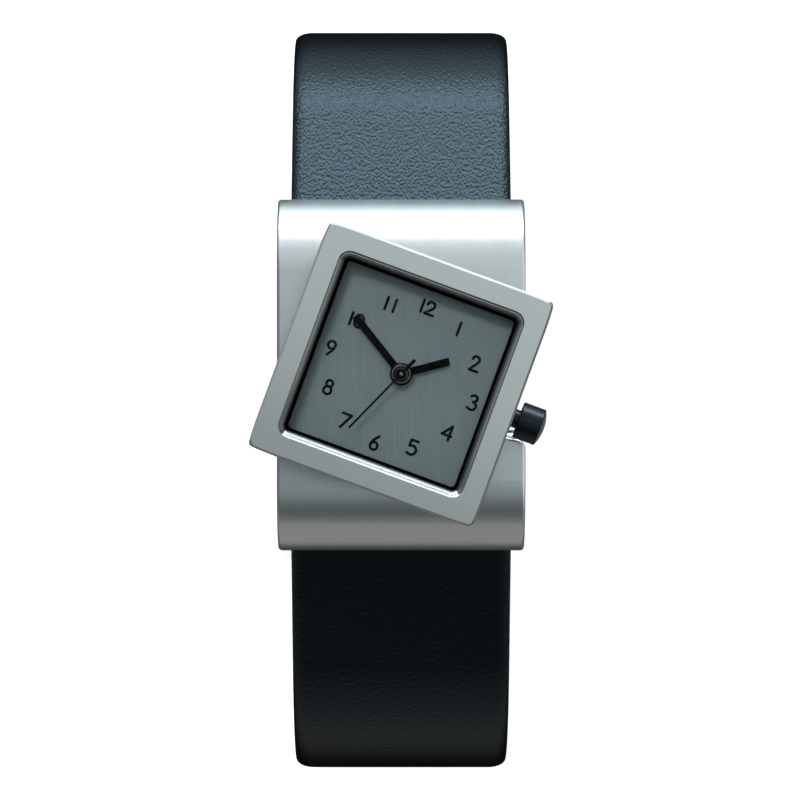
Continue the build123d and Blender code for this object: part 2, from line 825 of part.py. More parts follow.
with BuildPart() as crown_seal:
    stack(stem_axis, [(tube_bore - running_fit, seal_place, seal_place + seal_length)])
    stack(stem_axis, [(stem_radius + running_fit, seal_place, seal_place + seal_length)],
          mode=Mode.SUBTRACT)
keep(crown_seal, "crown_seal")

recess_floor = crown_start + crown_recess_depth
stem_end = recess_floor + crown_length / 3
with BuildPart() as stem:
    stack(stem_axis, [(stem_inner_radius, stem_inner_end, groove_start),
                      (stem_groove_radius, groove_start, groove_start + groove_length),
                      (stem_inner_radius, groove_start + groove_length, stem_shoulder),
                      (stem_radius, stem_shoulder, stem_end)])
keep(stem, "stem")

crown_end = crown_start + crown_length
with BuildPart() as crown:
    with BuildSketch(Plane(origin=stem_axis.origin, x_dir=stem_axis.z_dir, z_dir=stem_axis.x_dir)):
        with BuildLine():
            base_line = Line((crown_start, 0), (crown_start, crown_radius))
            barrel = Line(base_line @ 1, (crown_end, crown_radius))
            dome = ThreePointArc((crown_end, -crown_radius), (crown_end + crown_dome, 0), barrel @ 1)
            Line((crown_start, -crown_radius), (crown_end, -crown_radius))
            Line((crown_start, -crown_radius), (crown_start, 0))
        make_face()
        with Locations((crown_start - overrun, 0)):
            Rectangle(2 * (crown_length + crown_dome + overrun), 2 * crown_radius,
                      align=(Align.MIN, Align.MIN), mode=Mode.INTERSECT)
    revolve(axis=Axis(stem_axis.origin, stem_axis.z_dir))
    fillet(crown.edges().filter_by(GeomType.CIRCLE), crown_edge_round)
    stack(stem_axis, [(tube_radius + crown_recess_gap, crown_start, recess_floor),
                      (stem_radius, crown_start, stem_end)], mode=Mode.SUBTRACT)
keep(crown, "crown")

# Movement holder, main plate with three pillars, and the bridge over the train
holder_inner = (movement_width + 2 * holder_gap, movement_height + 2 * holder_gap)
holder_side = cavity_side - 2 * shell_gap
with BuildPart() as movement_ring:
    block(head, (holder_side, holder_side), cavity_corner, back_thick + shell_gap, dial_bottom)
    block(head, holder_inner, movement_corner, back_thick, dial_bottom, mode=Mode.SUBTRACT)
    stack(stem_axis, [(stem_radius + crown_recess_gap, 0, case_half)], mode=Mode.SUBTRACT)
keep(movement_ring, "movement_ring")

pillar_spots = [(x * movement_width / 2, y * movement_height / 2) for x, y in pillar_shares]
battery_spot = (battery_right, -battery_below)
plate_top = plate_bottom + plate_thick
bridge_top = bridge_bottom + bridge_thick
intermediate_reach = fine_module * (intermediate_pinion_teeth + seconds_teeth) / 2
intermediate_spot = spot_from((0, 0), intermediate_reach, intermediate_angle)
rotor_reach = fine_module * (rotor_teeth + intermediate_teeth) / 2
rotor_spot = spot_from(intermediate_spot, rotor_reach, rotor_angle)
motion_reach = cannon_module * (cannon_teeth + motion_teeth) / 2
motion_spot = spot_from((0, 0), motion_reach, motion_angle)
third_reach = third_module * (seconds_pinion_teeth + third_teeth) / 2
third_spot = spot_from((0, 0), third_reach, third_angle)
centre_module = 2 * third_reach / (third_pinion_teeth + centre_teeth)
hour_module = 2 * motion_reach / (motion_pinion_teeth + hour_teeth)
train_spots = (third_spot, intermediate_spot, rotor_spot)
plate_spots = (*train_spots, motion_spot)
with BuildPart() as main_plate:
    block(head, (movement_width, movement_height), movement_corner, plate_bottom, plate_top)
    for pillar in pillar_spots:
        stack(head, [(pillar_radius, bridge_top, plate_bottom)], pillar)
    stack(head, [(centre_hub_radius + running_fit, plate_bottom, plate_top)], mode=Mode.SUBTRACT)
    for plate_spot in plate_spots:
        stack(head, [(arbor_radius + running_fit, plate_bottom, plate_top)], plate_spot, Mode.SUBTRACT)
    screw_holes(head.offset(bridge_bottom), pillar_spots, movement_screw_grip)
keep(main_plate, "main_plate")

coil_room = (2 * (coil_radius + battery_room), core_length + 2 * battery_room)
with BuildPart() as train_bridge:
    block(head, (movement_width, movement_height), movement_corner, bridge_bottom, bridge_top)
    stack(head, [(battery_radius + battery_room, bridge_bottom, bridge_top)], battery_spot,
          Mode.SUBTRACT)
    corner_spot = (movement_width / 2, -movement_height / 2)
    corner_size = (movement_width - 2 * battery_right, movement_height - 2 * battery_below)
    block(head, corner_size, battery_room, bridge_bottom, bridge_top, corner_spot, Mode.SUBTRACT)
    block(head, coil_room, battery_room, bridge_bottom, bridge_top, (coil_place, 0), Mode.SUBTRACT)
    stack(head, [(seconds_arbor_radius + running_fit, bridge_bottom, bridge_top)], mode=Mode.SUBTRACT)
    for train_spot in train_spots:
        stack(head, [(arbor_radius + running_fit, bridge_bottom, bridge_top)], train_spot,
              Mode.SUBTRACT)
    screw_holes(head.offset(bridge_bottom), pillar_spots, bridge_thick)
keep(train_bridge, "train_bridge")

with BuildPart() as movement_screws:
    screws(head.offset(bridge_bottom), pillar_spots, movement_screw_grip)
keep(movement_screws, "movement_screws")

# Battery with its smaller negative face down, and the spring strip that holds it
battery_top = battery_bottom + battery_thick
with BuildPart() as battery:
    stack(head, [(battery_radius - battery_step, battery_bottom, battery_top),
                 (battery_radius, battery_bottom + battery_step, battery_top)], battery_spot)
keep(battery, "battery")

with BuildPart() as battery_clamp:
    block(head, (2 * battery_radius, clamp_width), clamp_thick, battery_bottom - clamp_thick,
          battery_bottom, battery_spot)
keep(battery_clamp, "battery_clamp")

# Coil on its core, and the stator plate round the rotor's magnet
core_bottom = coil_height - core_thick / 2
coil_plane = Plane(origin=head.from_local_coords((coil_place, -coil_length / 2, coil_height)),
                   x_dir=head.x_dir, z_dir=head.y_dir)
with BuildPart() as coil_core:
    block(head, (core_width, core_length), core_width / 3, core_bottom, core_bottom + core_thick,
          (coil_place, 0))
keep(coil_core, "coil_core")

with BuildPart() as coil_winding:
    with BuildSketch(coil_plane):
        Circle(coil_radius)
        Rectangle(core_width, core_thick, mode=Mode.SUBTRACT)
    extrude(amount=coil_length)
keep(coil_winding, "coil_winding")

stator_bottom = core_bottom - stator_thick
leg_place = (coil_place + rotor_spot[0]) / 2
leg_end = core_length / 2 - stator_leg / 2
with BuildPart() as stator:
    with BuildSketch(head.offset(stator_bottom)):
        for end in (-leg_end, leg_end):
            with Locations(((coil_place + leg_place) / 2, end)):
                Rectangle(leg_place - coil_place + stator_leg, stator_leg)
        with Locations((leg_place, 0)):
            Rectangle(stator_leg, 2 * leg_end)
        with Locations(rotor_spot):
            Circle(magnet_radius + stator_bore_gap + stator_leg)
            Circle(magnet_radius + stator_bore_gap, mode=Mode.SUBTRACT)
        with Locations((coil_place, 0)):
            Rectangle(2 * coil_radius + 2 * battery_room, coil_length + 2 * battery_room,
                      mode=Mode.SUBTRACT)
    extrude(amount=stator_thick)
keep(stator, "stator")

# Circuit board with the quartz can below it, and the lever in the stem's groove
with BuildPart() as circuit_board:
    block(head, (board_width, board_length), board_thick, board_bottom, board_bottom + board_thick,
          (board_right, board_above))
keep(circuit_board, "circuit_board")

can_plane = Plane(
    origin=head.from_local_coords((board_right, board_above - can_length / 2,
                                   board_bottom - can_radius)),
    x_dir=head.x_dir, z_dir=head.y_dir,
)
with BuildPart() as quartz_can:
    stack(can_plane, [(can_radius, 0, can_length)])
    fillet(quartz_can.edges().filter_by(GeomType.CIRCLE), can_radius / 3)
keep(quartz_can, "quartz_can")

lever_top = stem_height - stem_inner_radius - lever_drop
peg_spot = (groove_start + groove_length - peg_radius - running_fit,
            stem_shift + stem_groove_radius + running_fit + peg_radius)
with BuildPart() as setting_lever:
    block(head, (lever_length, lever_width), lever_thick, lever_top - lever_thick, lever_top,
          (lever_right, lever_above))
    stack(head, [(peg_radius, lever_top, stem_height + stem_inner_radius)], peg_spot)
keep(setting_lever, "setting_lever")

# Train wheels: each piece carries its arbor, its wheel and its pinion
pinion_thick = wheel_thick + 2 * pinion_overlap
train_floor = bridge_bottom + running_fit
train_roof = plate_top - running_fit

with BuildPart() as seconds_wheel:
    toothed_ring(head, seconds_teeth, fine_module, intermediate_angle, seconds_level, wheel_thick)
    toothed_ring(head, seconds_pinion_teeth, third_module, third_angle,
                 third_level - pinion_overlap, pinion_thick)
    stack(head, [(seconds_arbor_radius, train_floor, second_hand_level + second_thick)])
keep(seconds_wheel, "seconds_wheel")

with BuildPart() as third_wheel:
    toothed_ring(head, third_teeth, third_module, gap_towards(third_angle, third_teeth),
                 third_level, wheel_thick, third_spot)
    toothed_ring(head, third_pinion_teeth, centre_module, gap_towards(third_angle, third_pinion_teeth),
                 centre_level - pinion_overlap, pinion_thick, third_spot)
    stack(head, [(arbor_radius, train_floor, train_roof)], third_spot)
keep(third_wheel, "third_wheel")

with BuildPart() as intermediate_wheel:
    toothed_ring(head, intermediate_teeth, fine_module, rotor_angle, intermediate_level,
                 wheel_thick, intermediate_spot)
    toothed_ring(head, intermediate_pinion_teeth, fine_module,
                 gap_towards(intermediate_angle, intermediate_pinion_teeth),
                 seconds_level - pinion_overlap, pinion_thick, intermediate_spot)
    stack(head, [(arbor_radius, train_floor, train_roof)], intermediate_spot)
keep(intermediate_wheel, "intermediate_wheel")

with BuildPart() as rotor:
    toothed_ring(head, rotor_teeth, fine_module, gap_towards(rotor_angle, rotor_teeth),
                 intermediate_level - pinion_overlap, pinion_thick, rotor_spot)
    stack(head, [(magnet_radius, magnet_bottom, magnet_bottom + magnet_thick),
                 (arbor_radius, train_floor, train_roof)], rotor_spot)
keep(rotor, "rotor")

with BuildPart() as centre_wheel:
    toothed_ring(head, centre_teeth, centre_module, third_angle, centre_level, wheel_thick)
    stack(head, [(centre_hub_radius, centre_level, motion_level + pinion_thick)])
    stack(head, [(seconds_arbor_radius + pipe_gap, centre_level, motion_level + pinion_thick)],
          mode=Mode.SUBTRACT)
keep(centre_wheel, "centre_wheel")

with BuildPart() as cannon_pinion:
    toothed_ring(head, cannon_teeth, cannon_module, motion_angle, motion_level - pinion_overlap / 2,
                 pinion_thick)
    stack(head, [(cannon_pipe_radius, motion_level - pinion_overlap / 2,
                  minute_hand_level + hand_thick)])
    stack(head, [(centre_hub_radius, motion_level - pinion_overlap, minute_hand_level + hand_thick)],
          mode=Mode.SUBTRACT)
keep(cannon_pinion, "cannon_pinion")

with BuildPart() as motion_wheel:
    toothed_ring(head, motion_teeth, cannon_module, gap_towards(motion_angle, motion_teeth),
                 motion_level, wheel_thick, motion_spot)
    toothed_ring(head, motion_pinion_teeth, hour_module, motion_angle + 180,
                 hour_level - pinion_overlap, pinion_thick - pinion_overlap, motion_spot)
    stack(head, [(arbor_radius, plate_bottom + running_fit, hour_level + wheel_thick)], motion_spot)
keep(motion_wheel, "motion_wheel")

hour_pipe_bore = cannon_pipe_radius + pipe_gap
hour_pipe_radius = hour_pipe_bore + hour_pipe_wall
with BuildPart() as hour_wheel:
    toothed_ring(head, hour_teeth, hour_module, motion_angle + 180 / hour_teeth, hour_level,
                 wheel_thick)
    stack(head, [(hour_pipe_radius, hour_level, hour_hand_level + hand_thick)])
    stack(head, [(hour_pipe_bore, hour_level, hour_hand_level + hand_thick)], mode=Mode.SUBTRACT)
keep(hour_wheel, "hour_wheel")

# Hour and minute hand: flat batons with a round disc over the pipe that each is pressed on
for name, turn, length, width, level, bore in (
    ("hour_hand", hour_angle, hour_length, hour_width, hour_hand_level, hour_pipe_radius),
    ("minute_hand", minute_angle, minute_length, minute_width, minute_hand_level, cannon_pipe_radius),
):
    with BuildPart() as hand:
        with BuildSketch(head.offset(level).rotated((0, 0, -turn))):
            Rectangle(width, length, align=(Align.CENTER, Align.MIN))
            Circle(hub_disc_radius)
            Circle(bore, mode=Mode.SUBTRACT)
        extrude(amount=hand_thick)
    keep(hand, name)

# Second hand: a thin pointer with a broader tail and a polished cap
with BuildPart() as second_hand:
    with BuildSketch(head.offset(second_hand_level).rotated((0, 0, -second_angle))):
        Rectangle(second_width, second_length, align=(Align.CENTER, Align.MIN))
        Rectangle(second_tail_width, second_tail, align=(Align.CENTER, Align.MAX))
        Circle(second_disc_radius)
        Circle(seconds_arbor_radius, mode=Mode.SUBTRACT)
    extrude(amount=second_thick)
    stack(head, [(second_cap_radius, second_hand_level + second_thick,
                  second_hand_level + 2 * second_thick)])
keep(second_hand, "second_hand")
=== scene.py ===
# %% [markdown]
# # A square wristwatch
# The watch has a square steel head that turns on a curved steel base plate, and a black
# leather strap that closes in a loop below it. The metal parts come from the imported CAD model,
# which is loaded as a fixed frame. Here the metal gets its finishes, the leather is cut and
# bent as a strap maker does it, the numerals are printed on the dial, and the hands get their
# finest turned details.

# %% Load the frame
import json
import math

import bmesh
import bpy
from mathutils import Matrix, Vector


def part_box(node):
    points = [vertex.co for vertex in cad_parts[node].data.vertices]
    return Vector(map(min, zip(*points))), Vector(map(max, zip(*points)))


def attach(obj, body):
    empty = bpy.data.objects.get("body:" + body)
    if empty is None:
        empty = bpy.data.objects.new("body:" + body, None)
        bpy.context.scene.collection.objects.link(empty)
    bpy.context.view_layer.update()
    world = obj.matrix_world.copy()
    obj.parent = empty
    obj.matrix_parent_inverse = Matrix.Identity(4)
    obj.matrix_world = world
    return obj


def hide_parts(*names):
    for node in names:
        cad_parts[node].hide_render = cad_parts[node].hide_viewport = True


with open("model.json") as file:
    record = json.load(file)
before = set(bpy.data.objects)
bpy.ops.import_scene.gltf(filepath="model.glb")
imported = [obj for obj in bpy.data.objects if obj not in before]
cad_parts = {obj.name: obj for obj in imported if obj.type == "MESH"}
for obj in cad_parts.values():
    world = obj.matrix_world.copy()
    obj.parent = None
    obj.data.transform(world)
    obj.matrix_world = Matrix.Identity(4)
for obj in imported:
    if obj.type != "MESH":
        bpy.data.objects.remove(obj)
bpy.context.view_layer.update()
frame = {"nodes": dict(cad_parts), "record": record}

# %% [markdown]
# ## Small helpers
# Colours are written as sRGB hex values, as a picture editor shows them, but Blender's shaders
# want linear light, so one function turns them. Another one adds a node, sets it and links it
# in a single call, so a tree reads from top to bottom.

# %% Colours, sizes and nodes
MM = 0.001


def colour(code):
    """The linear colour of an sRGB hex value such as #A0B0C0."""
    shares = [int(code[place:place + 2], 16) / 255 for place in (1, 3, 5)]
    # The sRGB curve is straight near black, and a power above it
    return [c / 12.92 if c <= 0.04045 else ((c + 0.055) / 1.055) ** 2.4 for c in shares] + [1]


def add(tree, kind, inputs=(), **settings):
    """Add a node with its settings, and give each input a value or a link.

    An input goes by its name, or by its number where several share a name: a Mix node has its
    share at 0, two numbers at 2 and 3, and two colours at 6 and 7."""
    node = tree.nodes.new(kind)
    for name, value in settings.items():
        setattr(node, name, value)
    for name, value in dict(inputs).items():
        if isinstance(value, bpy.types.NodeSocket):
            tree.links.new(value, node.inputs[name])
        else:
            node.inputs[name].default_value = value
    return node


def set_stops(ramp, stops):
    """Give a colour ramp its stops: a place between 0 and 1, and a colour."""
    elements = ramp.color_ramp.elements
    while len(elements) < len(stops):
        elements.new(0.5)
    for stop, (place, code) in zip(elements, stops):
        stop.position = place
        stop.color = colour(code)


def put(name, data):
    """A new object that holds this data, in the scene."""
    thing = bpy.data.objects.new(name, data)
    bpy.context.scene.collection.objects.link(thing)
    return thing


print("white is", colour("#FFFFFF"))

# %% [markdown]
# ## Where things are
# The frame stands on the table at z = 0 with the dial up. The head is turned on the base, so
# whatever belongs to the dial is laid out in the head's own directions: right and up on the dial.

# %% The pivot and the head's directions
# The middle of the base plate's upper face, and how far the head is turned on it
PIVOT = Vector((0, 2.625, 50.7)) * MM
HEAD_TURN = math.radians(-20.2)
DIAL_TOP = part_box("dial")[1].z


def on_head(right, up, height):
    """A point in metres from millimetres right and up on the turned dial, and a height in metres."""
    turn, lean = math.cos(HEAD_TURN), math.sin(HEAD_TURN)
    return Vector((
        PIVOT.x + (right * turn - up * lean) * MM,
        PIVOT.y + (right * lean + up * turn) * MM,
        height,
    ))


print("dial top at", round(DIAL_TOP / MM, 3), "mm")

# %% [markdown]
# ## The camera
# The photograph looks straight down on the dial from some way off, so there is hardly any
# perspective. An orthographic camera would show none at all and make the head too small beside
# the base. A long lens at the same distance gives the same picture.

# %% Camera
CAMERA_PLACE = Vector((-0.106, 0.115, 470.7)) * MM
# In millimetres: with this lens on this sensor, the watch is as large as in the photograph
LENS = 192.3
SENSOR = 36
camera = put("camera", bpy.data.cameras.new("camera"))
camera.data.sensor_width = SENSOR
camera.data.lens = LENS
camera.data.clip_start = 0.01
camera.data.clip_end = 20
camera.location = CAMERA_PLACE
bpy.context.scene.camera = camera
bpy.context.scene.view_settings.view_transform = "Standard"
print("camera is", round((CAMERA_PLACE - PIVOT).length / MM, 1), "mm above the base plate")

# %% [markdown]
# ## The floor
# The watch stands on plain white paper. Lamps that make paper pure white would burn out the
# steel, so the floor also glows, to the camera and in reflections. Its diffuse part catches the
# lamps' light and the watch's shadow. In reflections its colour is painted shade and light: metal
# and glass mirror it mid grey under the watch, nearly black on both sides of it as a painted
# shadow of the watch, and brightest far out on the window's side as painted light.

# %% Floor
# Half the size of the plane in metres, and its gap below the watch in millimetres
FLOOR_HALF = 6
FLOOR_GAP = 0.01
floor_mesh = bpy.data.meshes.new("floor")
floor_corners = [(x * FLOOR_HALF, y * FLOOR_HALF, 0) for x, y in ((-1, -1), (1, -1), (1, 1), (-1, 1))]
floor_mesh.from_pydata(floor_corners, [], [(0, 1, 2, 3)])
floor = put("floor", floor_mesh)
floor.location.z = -FLOOR_GAP * MM
print("floor is", 2 * FLOOR_HALF, "m wide")

# %% White paper
FLOOR_GLOW = 0.86
# The reflected floor's painted shade and light, from this many millimetres towards 6 to as many towards
# 12
FLOOR_REACH = 200
FLOOR_PAINTED_SHADE = (
    (0.26, "#A4A2A0"),
    (0.34, "#080808"),
    (0.39, "#080808"),
    (0.43, "#A8A8A8"),
    (0.57, "#A8A8A8"),
    (0.61, "#080808"),
    (0.68, "#080808"),
    (0.77, "#B8CCD4"),
    (1.0, "#E4F2F8"),
)
paper = bpy.data.materials.new("white studio paper")
paper.use_nodes = True
tree = paper.node_tree
tree.nodes.clear()
light_path = add(tree, "ShaderNodeLightPath")
spot = add(tree, "ShaderNodeSeparateXYZ", {0: add(tree, "ShaderNodeTexCoord").outputs["Object"]})
across_floor = add(tree, "ShaderNodeMapRange", {
    "Value": spot.outputs["Y"], "From Min": -FLOOR_REACH * MM, "From Max": FLOOR_REACH * MM})
floor_shade_ramp = add(tree, "ShaderNodeValToRGB", {"Fac": across_floor.outputs[0]})
set_stops(floor_shade_ramp, FLOOR_PAINTED_SHADE)
mirrored = add(tree, "ShaderNodeMath", {
    0: light_path.outputs["Is Glossy Ray"], 1: light_path.outputs["Is Transmission Ray"]},
    operation="MAXIMUM")
# Glossy and transmission rays see the painted shade and light in the glow and the diffuse colour; the
# camera sees plain white
dimmed = add(tree, "ShaderNodeMix", {
    0: mirrored.outputs[0], 6: colour("#FFFFFF"), 7: floor_shade_ramp.outputs["Color"]}, data_type="RGBA")
seen = add(tree, "ShaderNodeMath", {
    0: light_path.outputs["Is Camera Ray"], 1: mirrored.outputs[0]}, operation="MAXIMUM")
strength = add(tree, "ShaderNodeMath", {0: seen.outputs[0], 1: FLOOR_GLOW}, operation="MULTIPLY")
glow = add(tree, "ShaderNodeEmission", {"Color": dimmed.outputs[2], "Strength": strength.outputs[0]})
paint = add(tree, "ShaderNodeMix", {
    0: 1.0, 6: dimmed.outputs[2], 7: colour("#D8D8D8")}, data_type="RGBA", blend_type="MULTIPLY")
matt = add(tree, "ShaderNodeBsdfDiffuse", {"Color": paint.outputs[2]})
both = add(tree, "ShaderNodeAddShader", {0: glow.outputs[0], 1: matt.outputs[0]})
add(tree, "ShaderNodeOutputMaterial", {"Surface": both.outputs[0]})
floor_mesh.materials.append(paper)
print("floor glow", FLOOR_GLOW)

# %% [markdown]
# ## The room
# Brushed steel shows its surroundings more than its own colour. A picture of a studio could be
# wrapped round the scene, but three ramps do the same and are easily changed. The first one
# runs from the horizon behind 12 up over the dial and down to the horizon beyond 6: pale, grey
# overhead, a lighter patch, a dark ceiling, a pale wall and its dark foot. The second dims the
# room's left and right ends, and the third adds a pale glow at the right end.

# %% World
ROOM = (
    (0.0, "#E0E6E6"),
    (0.15, "#B6BEC0"),
    (0.3, "#929A9C"),
    (0.5, "#7A8284"),
    (0.56, "#AAB2B4"),
    (0.63, "#A8B0B2"),
    (0.7, "#70787A"),
    (0.79, "#485052"),
    (0.84, "#626666"),
    (0.89, "#9C9B98"),
    (0.95, "#CECBC6"),
    (0.975, "#CECBC6"),
    (0.985, "#303234"),
    (1.0, "#202224"),
)
# These two go from the left end of the room, at 0, to the right end, at 1
SIDES = (
    (0.0, "#A0A0A0"),
    (0.3, "#FFFFFF"),
    (0.7, "#FFFFFF"),
    (0.9, "#808080"),
    (0.95, "#707070"),
)
END_GLOW = (
    (0.93, "#000000"),
    (0.965, "#909490"),
)
world = bpy.data.worlds.new("grey room")
bpy.context.scene.world = world
world.use_nodes = True
tree = world.node_tree
tree.nodes.clear()
aim = add(tree, "ShaderNodeTexCoord").outputs["Generated"]
axes = add(tree, "ShaderNodeSeparateXYZ", {0: aim})
angle = add(tree, "ShaderNodeMath", {0: axes.outputs["Z"], 1: axes.outputs["Y"]}, operation="ARCTAN2")
share = add(tree, "ShaderNodeMath", {0: angle.outputs[0], 1: math.pi}, operation="DIVIDE")
side = add(tree, "ShaderNodeMapRange", {"Value": axes.outputs["X"], "From Min": -1.0, "From Max": 1.0})
over = add(tree, "ShaderNodeValToRGB", {"Fac": share.outputs[0]})
dim = add(tree, "ShaderNodeValToRGB", {"Fac": side.outputs[0]})
end = add(tree, "ShaderNodeValToRGB", {"Fac": side.outputs[0]})
for ramp, stops in ((over, ROOM), (dim, SIDES), (end, END_GLOW)):
    set_stops(ramp, stops)
walls = add(tree, "ShaderNodeMix", {
    0: 1.0, 6: over.outputs["Color"], 7: dim.outputs["Color"]}, data_type="RGBA", blend_type="MULTIPLY")
room = add(tree, "ShaderNodeMix", {
    0: 1.0, 6: walls.outputs[2], 7: end.outputs["Color"]}, data_type="RGBA", blend_type="ADD")
sky = add(tree, "ShaderNodeBackground", {"Color": room.outputs[2], "Strength": 1.0})
add(tree, "ShaderNodeOutputWorld", {"Surface": sky.outputs[0]})
print("world ramp stops", len(ROOM), len(SIDES), len(END_GLOW))

# %% [markdown]
# ## Lamps
# In the photograph a bright window lies low behind 12 o'clock. Area lamps stand for it and for
# the other lights, because a sun or a point lamp has no shape to reflect. The window and the
# panel show only in reflections, so black stays black where it doesn't mirror them. The small
# key lamp does the opposite: it throws the frame's shadow on the dial, without a highlight.


# %% Lamps
def lamp(name, place, turn, size, brightness, tint):
    """An area lamp, placed and sized in metres. It faces down until it is turned, in degrees."""
    data = bpy.data.lights.new(name, "AREA")
    data.shape = "RECTANGLE"
    data.size, data.size_y = size
    # Cycles makes an area lamp as bright as its power over four times its area
    data.energy = 4 * size[0] * size[1] * brightness
    data.color = colour(tint)[:3]
    thing = put(name, data)
    thing.location = place
    thing.rotation_euler = [math.radians(angle) for angle in turn]
    thing.visible_camera = False
    return thing


window = lamp("window", (0.03, 0.38, 0.137), (-94, 0, 0), (0.55, 0.114), 12.0, "#F2F8FF")
window.visible_diffuse = False
lamp("window sill", (0.03, 0.38, 0.055), (-90, 0, 0), (0.55, 0.05), 1.6, "#F4FAFF")
# The panel hangs above the side of 12, so that its edge ends over the dial
panel = lamp("panel", (0.062, 0.129, 0.1475), (0, 0, -25), (0.4, 0.294), 0.54, "#F2FAF8")
panel.visible_diffuse = False
lamp("side window", (0.4, -0.02, 0.24), (0, 62, 0), (0.16, 0.5), 1.3, "#FFFCF4")
key = lamp("key", (-0.085, 0.215, 0.325), (-38, -14, 0), (0.06, 0.06), 70.0, "#FFFCF8")
key.visible_glossy = False

# %% [markdown]
# ## How a finish is made
# A picture of brushed steel could be laid on each piece, but it needs unwrapping and shows
# seams. Noise has neither fault. Stretched along the brushing it makes scratches, and left round
# it makes the specks of a moulded or painted surface. It varies the colour and the roughness a
# little, and presses the surface in and out.


# %% A finish to start from
def finish(name, **sockets):
    """A new material with a Principled shader, and the values of the sockets that are named."""
    material = bpy.data.materials.new(name)
    material.use_nodes = True
    tree = material.node_tree
    tree.nodes.clear()
    values = {key.replace("_", " "): value for key, value in sockets.items()}
    shader = add(tree, "ShaderNodeBsdfPrincipled", values)
    add(tree, "ShaderNodeOutputMaterial", {"Surface": shader.outputs[0]}, name="out")
    return material, tree, shader


def vary(tree, shader, pattern, light, dark, roughness, spread=(0.0, 1.0)):
    """Let a pattern vary the colour and the roughness. Its values lie within the spread."""
    tone = add(tree, "ShaderNodeMix", {0: pattern, 6: colour(dark), 7: colour(light)}, data_type="RGBA")
    rough = add(tree, "ShaderNodeMapRange", {
        "Value": pattern, "From Min": spread[0], "From Max": spread[1],
        "To Min": roughness[0], "To Max": roughness[1]})
    tree.links.new(tone.outputs[2], shader.inputs["Base Color"])
    tree.links.new(rough.outputs[0], shader.inputs["Roughness"])


def emboss(tree, shader, pattern, strength, depth):
    """Press a pattern into the surface, to a depth in millimetres."""
    bump = add(tree, "ShaderNodeBump", {
        "Height": pattern, "Strength": strength, "Distance": depth * MM})
    tree.links.new(bump.outputs[0], shader.inputs["Normal"])


# %% Brushed and speckled surfaces
def brush(tree, shader, scratch, light, dark, roughness, depth, turn=0):
    """Brushing, from a scratch's width and length in millimetres. It runs along Y until it turns.

    Real scratches are some 0.02 mm wide, which is too fine to show, so they are drawn coarser."""
    wide, long = scratch
    turned = add(tree, "ShaderNodeMapping", {
        "Vector": add(tree, "ShaderNodeTexCoord").outputs["Object"], "Rotation": (0, 0, turn)})
    stretched = add(tree, "ShaderNodeMapping", {
        "Vector": turned.outputs[0], "Scale": (1 / (wide * MM), 1 / (long * MM), 1 / (long * MM))})
    scratches = add(tree, "ShaderNodeTexNoise", {
        "Vector": stretched.outputs[0], "Scale": 1.0, "Detail": 3.0, "Roughness": 0.6}).outputs["Fac"]
    vary(tree, shader, scratches, light, dark, roughness, spread=(0.3, 0.7))
    emboss(tree, shader, scratches, 0.35, depth)


def speckle(tree, shader, grain, light, dark, roughness, depth):
    """A fine moulded or painted surface, from the width of its specks in millimetres."""
    place = add(tree, "ShaderNodeTexCoord").outputs["Object"]
    specks = add(tree, "ShaderNodeTexNoise", {
        "Vector": place, "Scale": 1 / (grain * MM), "Detail": 2.0}).outputs["Fac"]
    vary(tree, shader, specks, light, dark, roughness)
    emboss(tree, shader, specks, 0.4, depth)


# %% [markdown]
# ## Steel
# Stainless steel is the same grey everywhere; what changes is how it was worked. The base
# plate was brushed along its length on a belt, the head was satin brushed more finely, and
# turned parts were polished. The frame round the crystal is satin with polished inner bevels.
# Its mesh comes from the CAD as it is, so the bevels have no material of their own: the frame's
# material finds them by their depth below its top. It paints them a darker grey than the satin,
# which darkens their reflections, and nearly black at their foot: a painted reflection of the black ring.

# %% Steel finishes
# Brushed on a belt: a soft grey sheen with fine streaks along the plate
belt_steel, tree, shader = finish("belt brushed stainless steel", Metallic=1.0)
brush(tree, shader, (0.12, 9.0), "#C4C8C9", "#B8BCBD", (0.31, 0.37), 0.0006)
# Turned and polished: a mirror with the faint rings and hairlines of the lathe and cloth
mirror_steel, tree, shader = finish("polished stainless steel", Metallic=1.0)
brush(tree, shader, (0.3, 0.8), "#CDCECF", "#C4C5C6", (0.08, 0.16), 0.0005)
# The head's satin: shorter and quieter streaks, which turn with the head
satin = {"scratch": (0.08, 2.5), "light": "#BDC1C1", "dark": "#B4B8B8", "roughness": (0.32, 0.4),
         "depth": 0.0006, "turn": -HEAD_TURN}
satin_steel, tree, shader = finish("fine satin stainless steel", Metallic=1.0)
brush(tree, shader, **satin)
print("steel finishes", belt_steel.name, mirror_steel.name, satin_steel.name)

# %% The frame's polished bevels
# Polished steel shows crisp light and dark lines. The bevel is painted a darker grey than the satin,
# and nearly black at its foot: a painted reflection of the black ring under it. Depths are in millimetres
# below the frame's top
FRAME_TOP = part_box("bezel_frame")[1].z
BEVEL_DEPTHS = (0.01, 0.6)
FOOT_DEPTHS = (0.42, 0.58)
BEVEL_ROUGHNESS = 0.12
bevel_middle = sum(BEVEL_DEPTHS) / 2
frame_steel, tree, shader = finish("satin steel with polished bevels", Metallic=1.0)
brush(tree, shader, **satin)
spot = add(tree, "ShaderNodeSeparateXYZ", {0: add(tree, "ShaderNodeTexCoord").outputs["Object"]})
below_top = add(tree, "ShaderNodeMath", {0: FRAME_TOP, 1: spot.outputs["Z"]}, operation="SUBTRACT")
in_bevel = add(tree, "ShaderNodeMath", {
    0: below_top.outputs[0], 1: bevel_middle * MM, 2: (BEVEL_DEPTHS[1] - bevel_middle) * MM},
    operation="COMPARE")
foot = add(tree, "ShaderNodeMapRange", {
    "Value": below_top.outputs[0], "From Min": FOOT_DEPTHS[0] * MM, "From Max": FOOT_DEPTHS[1] * MM})
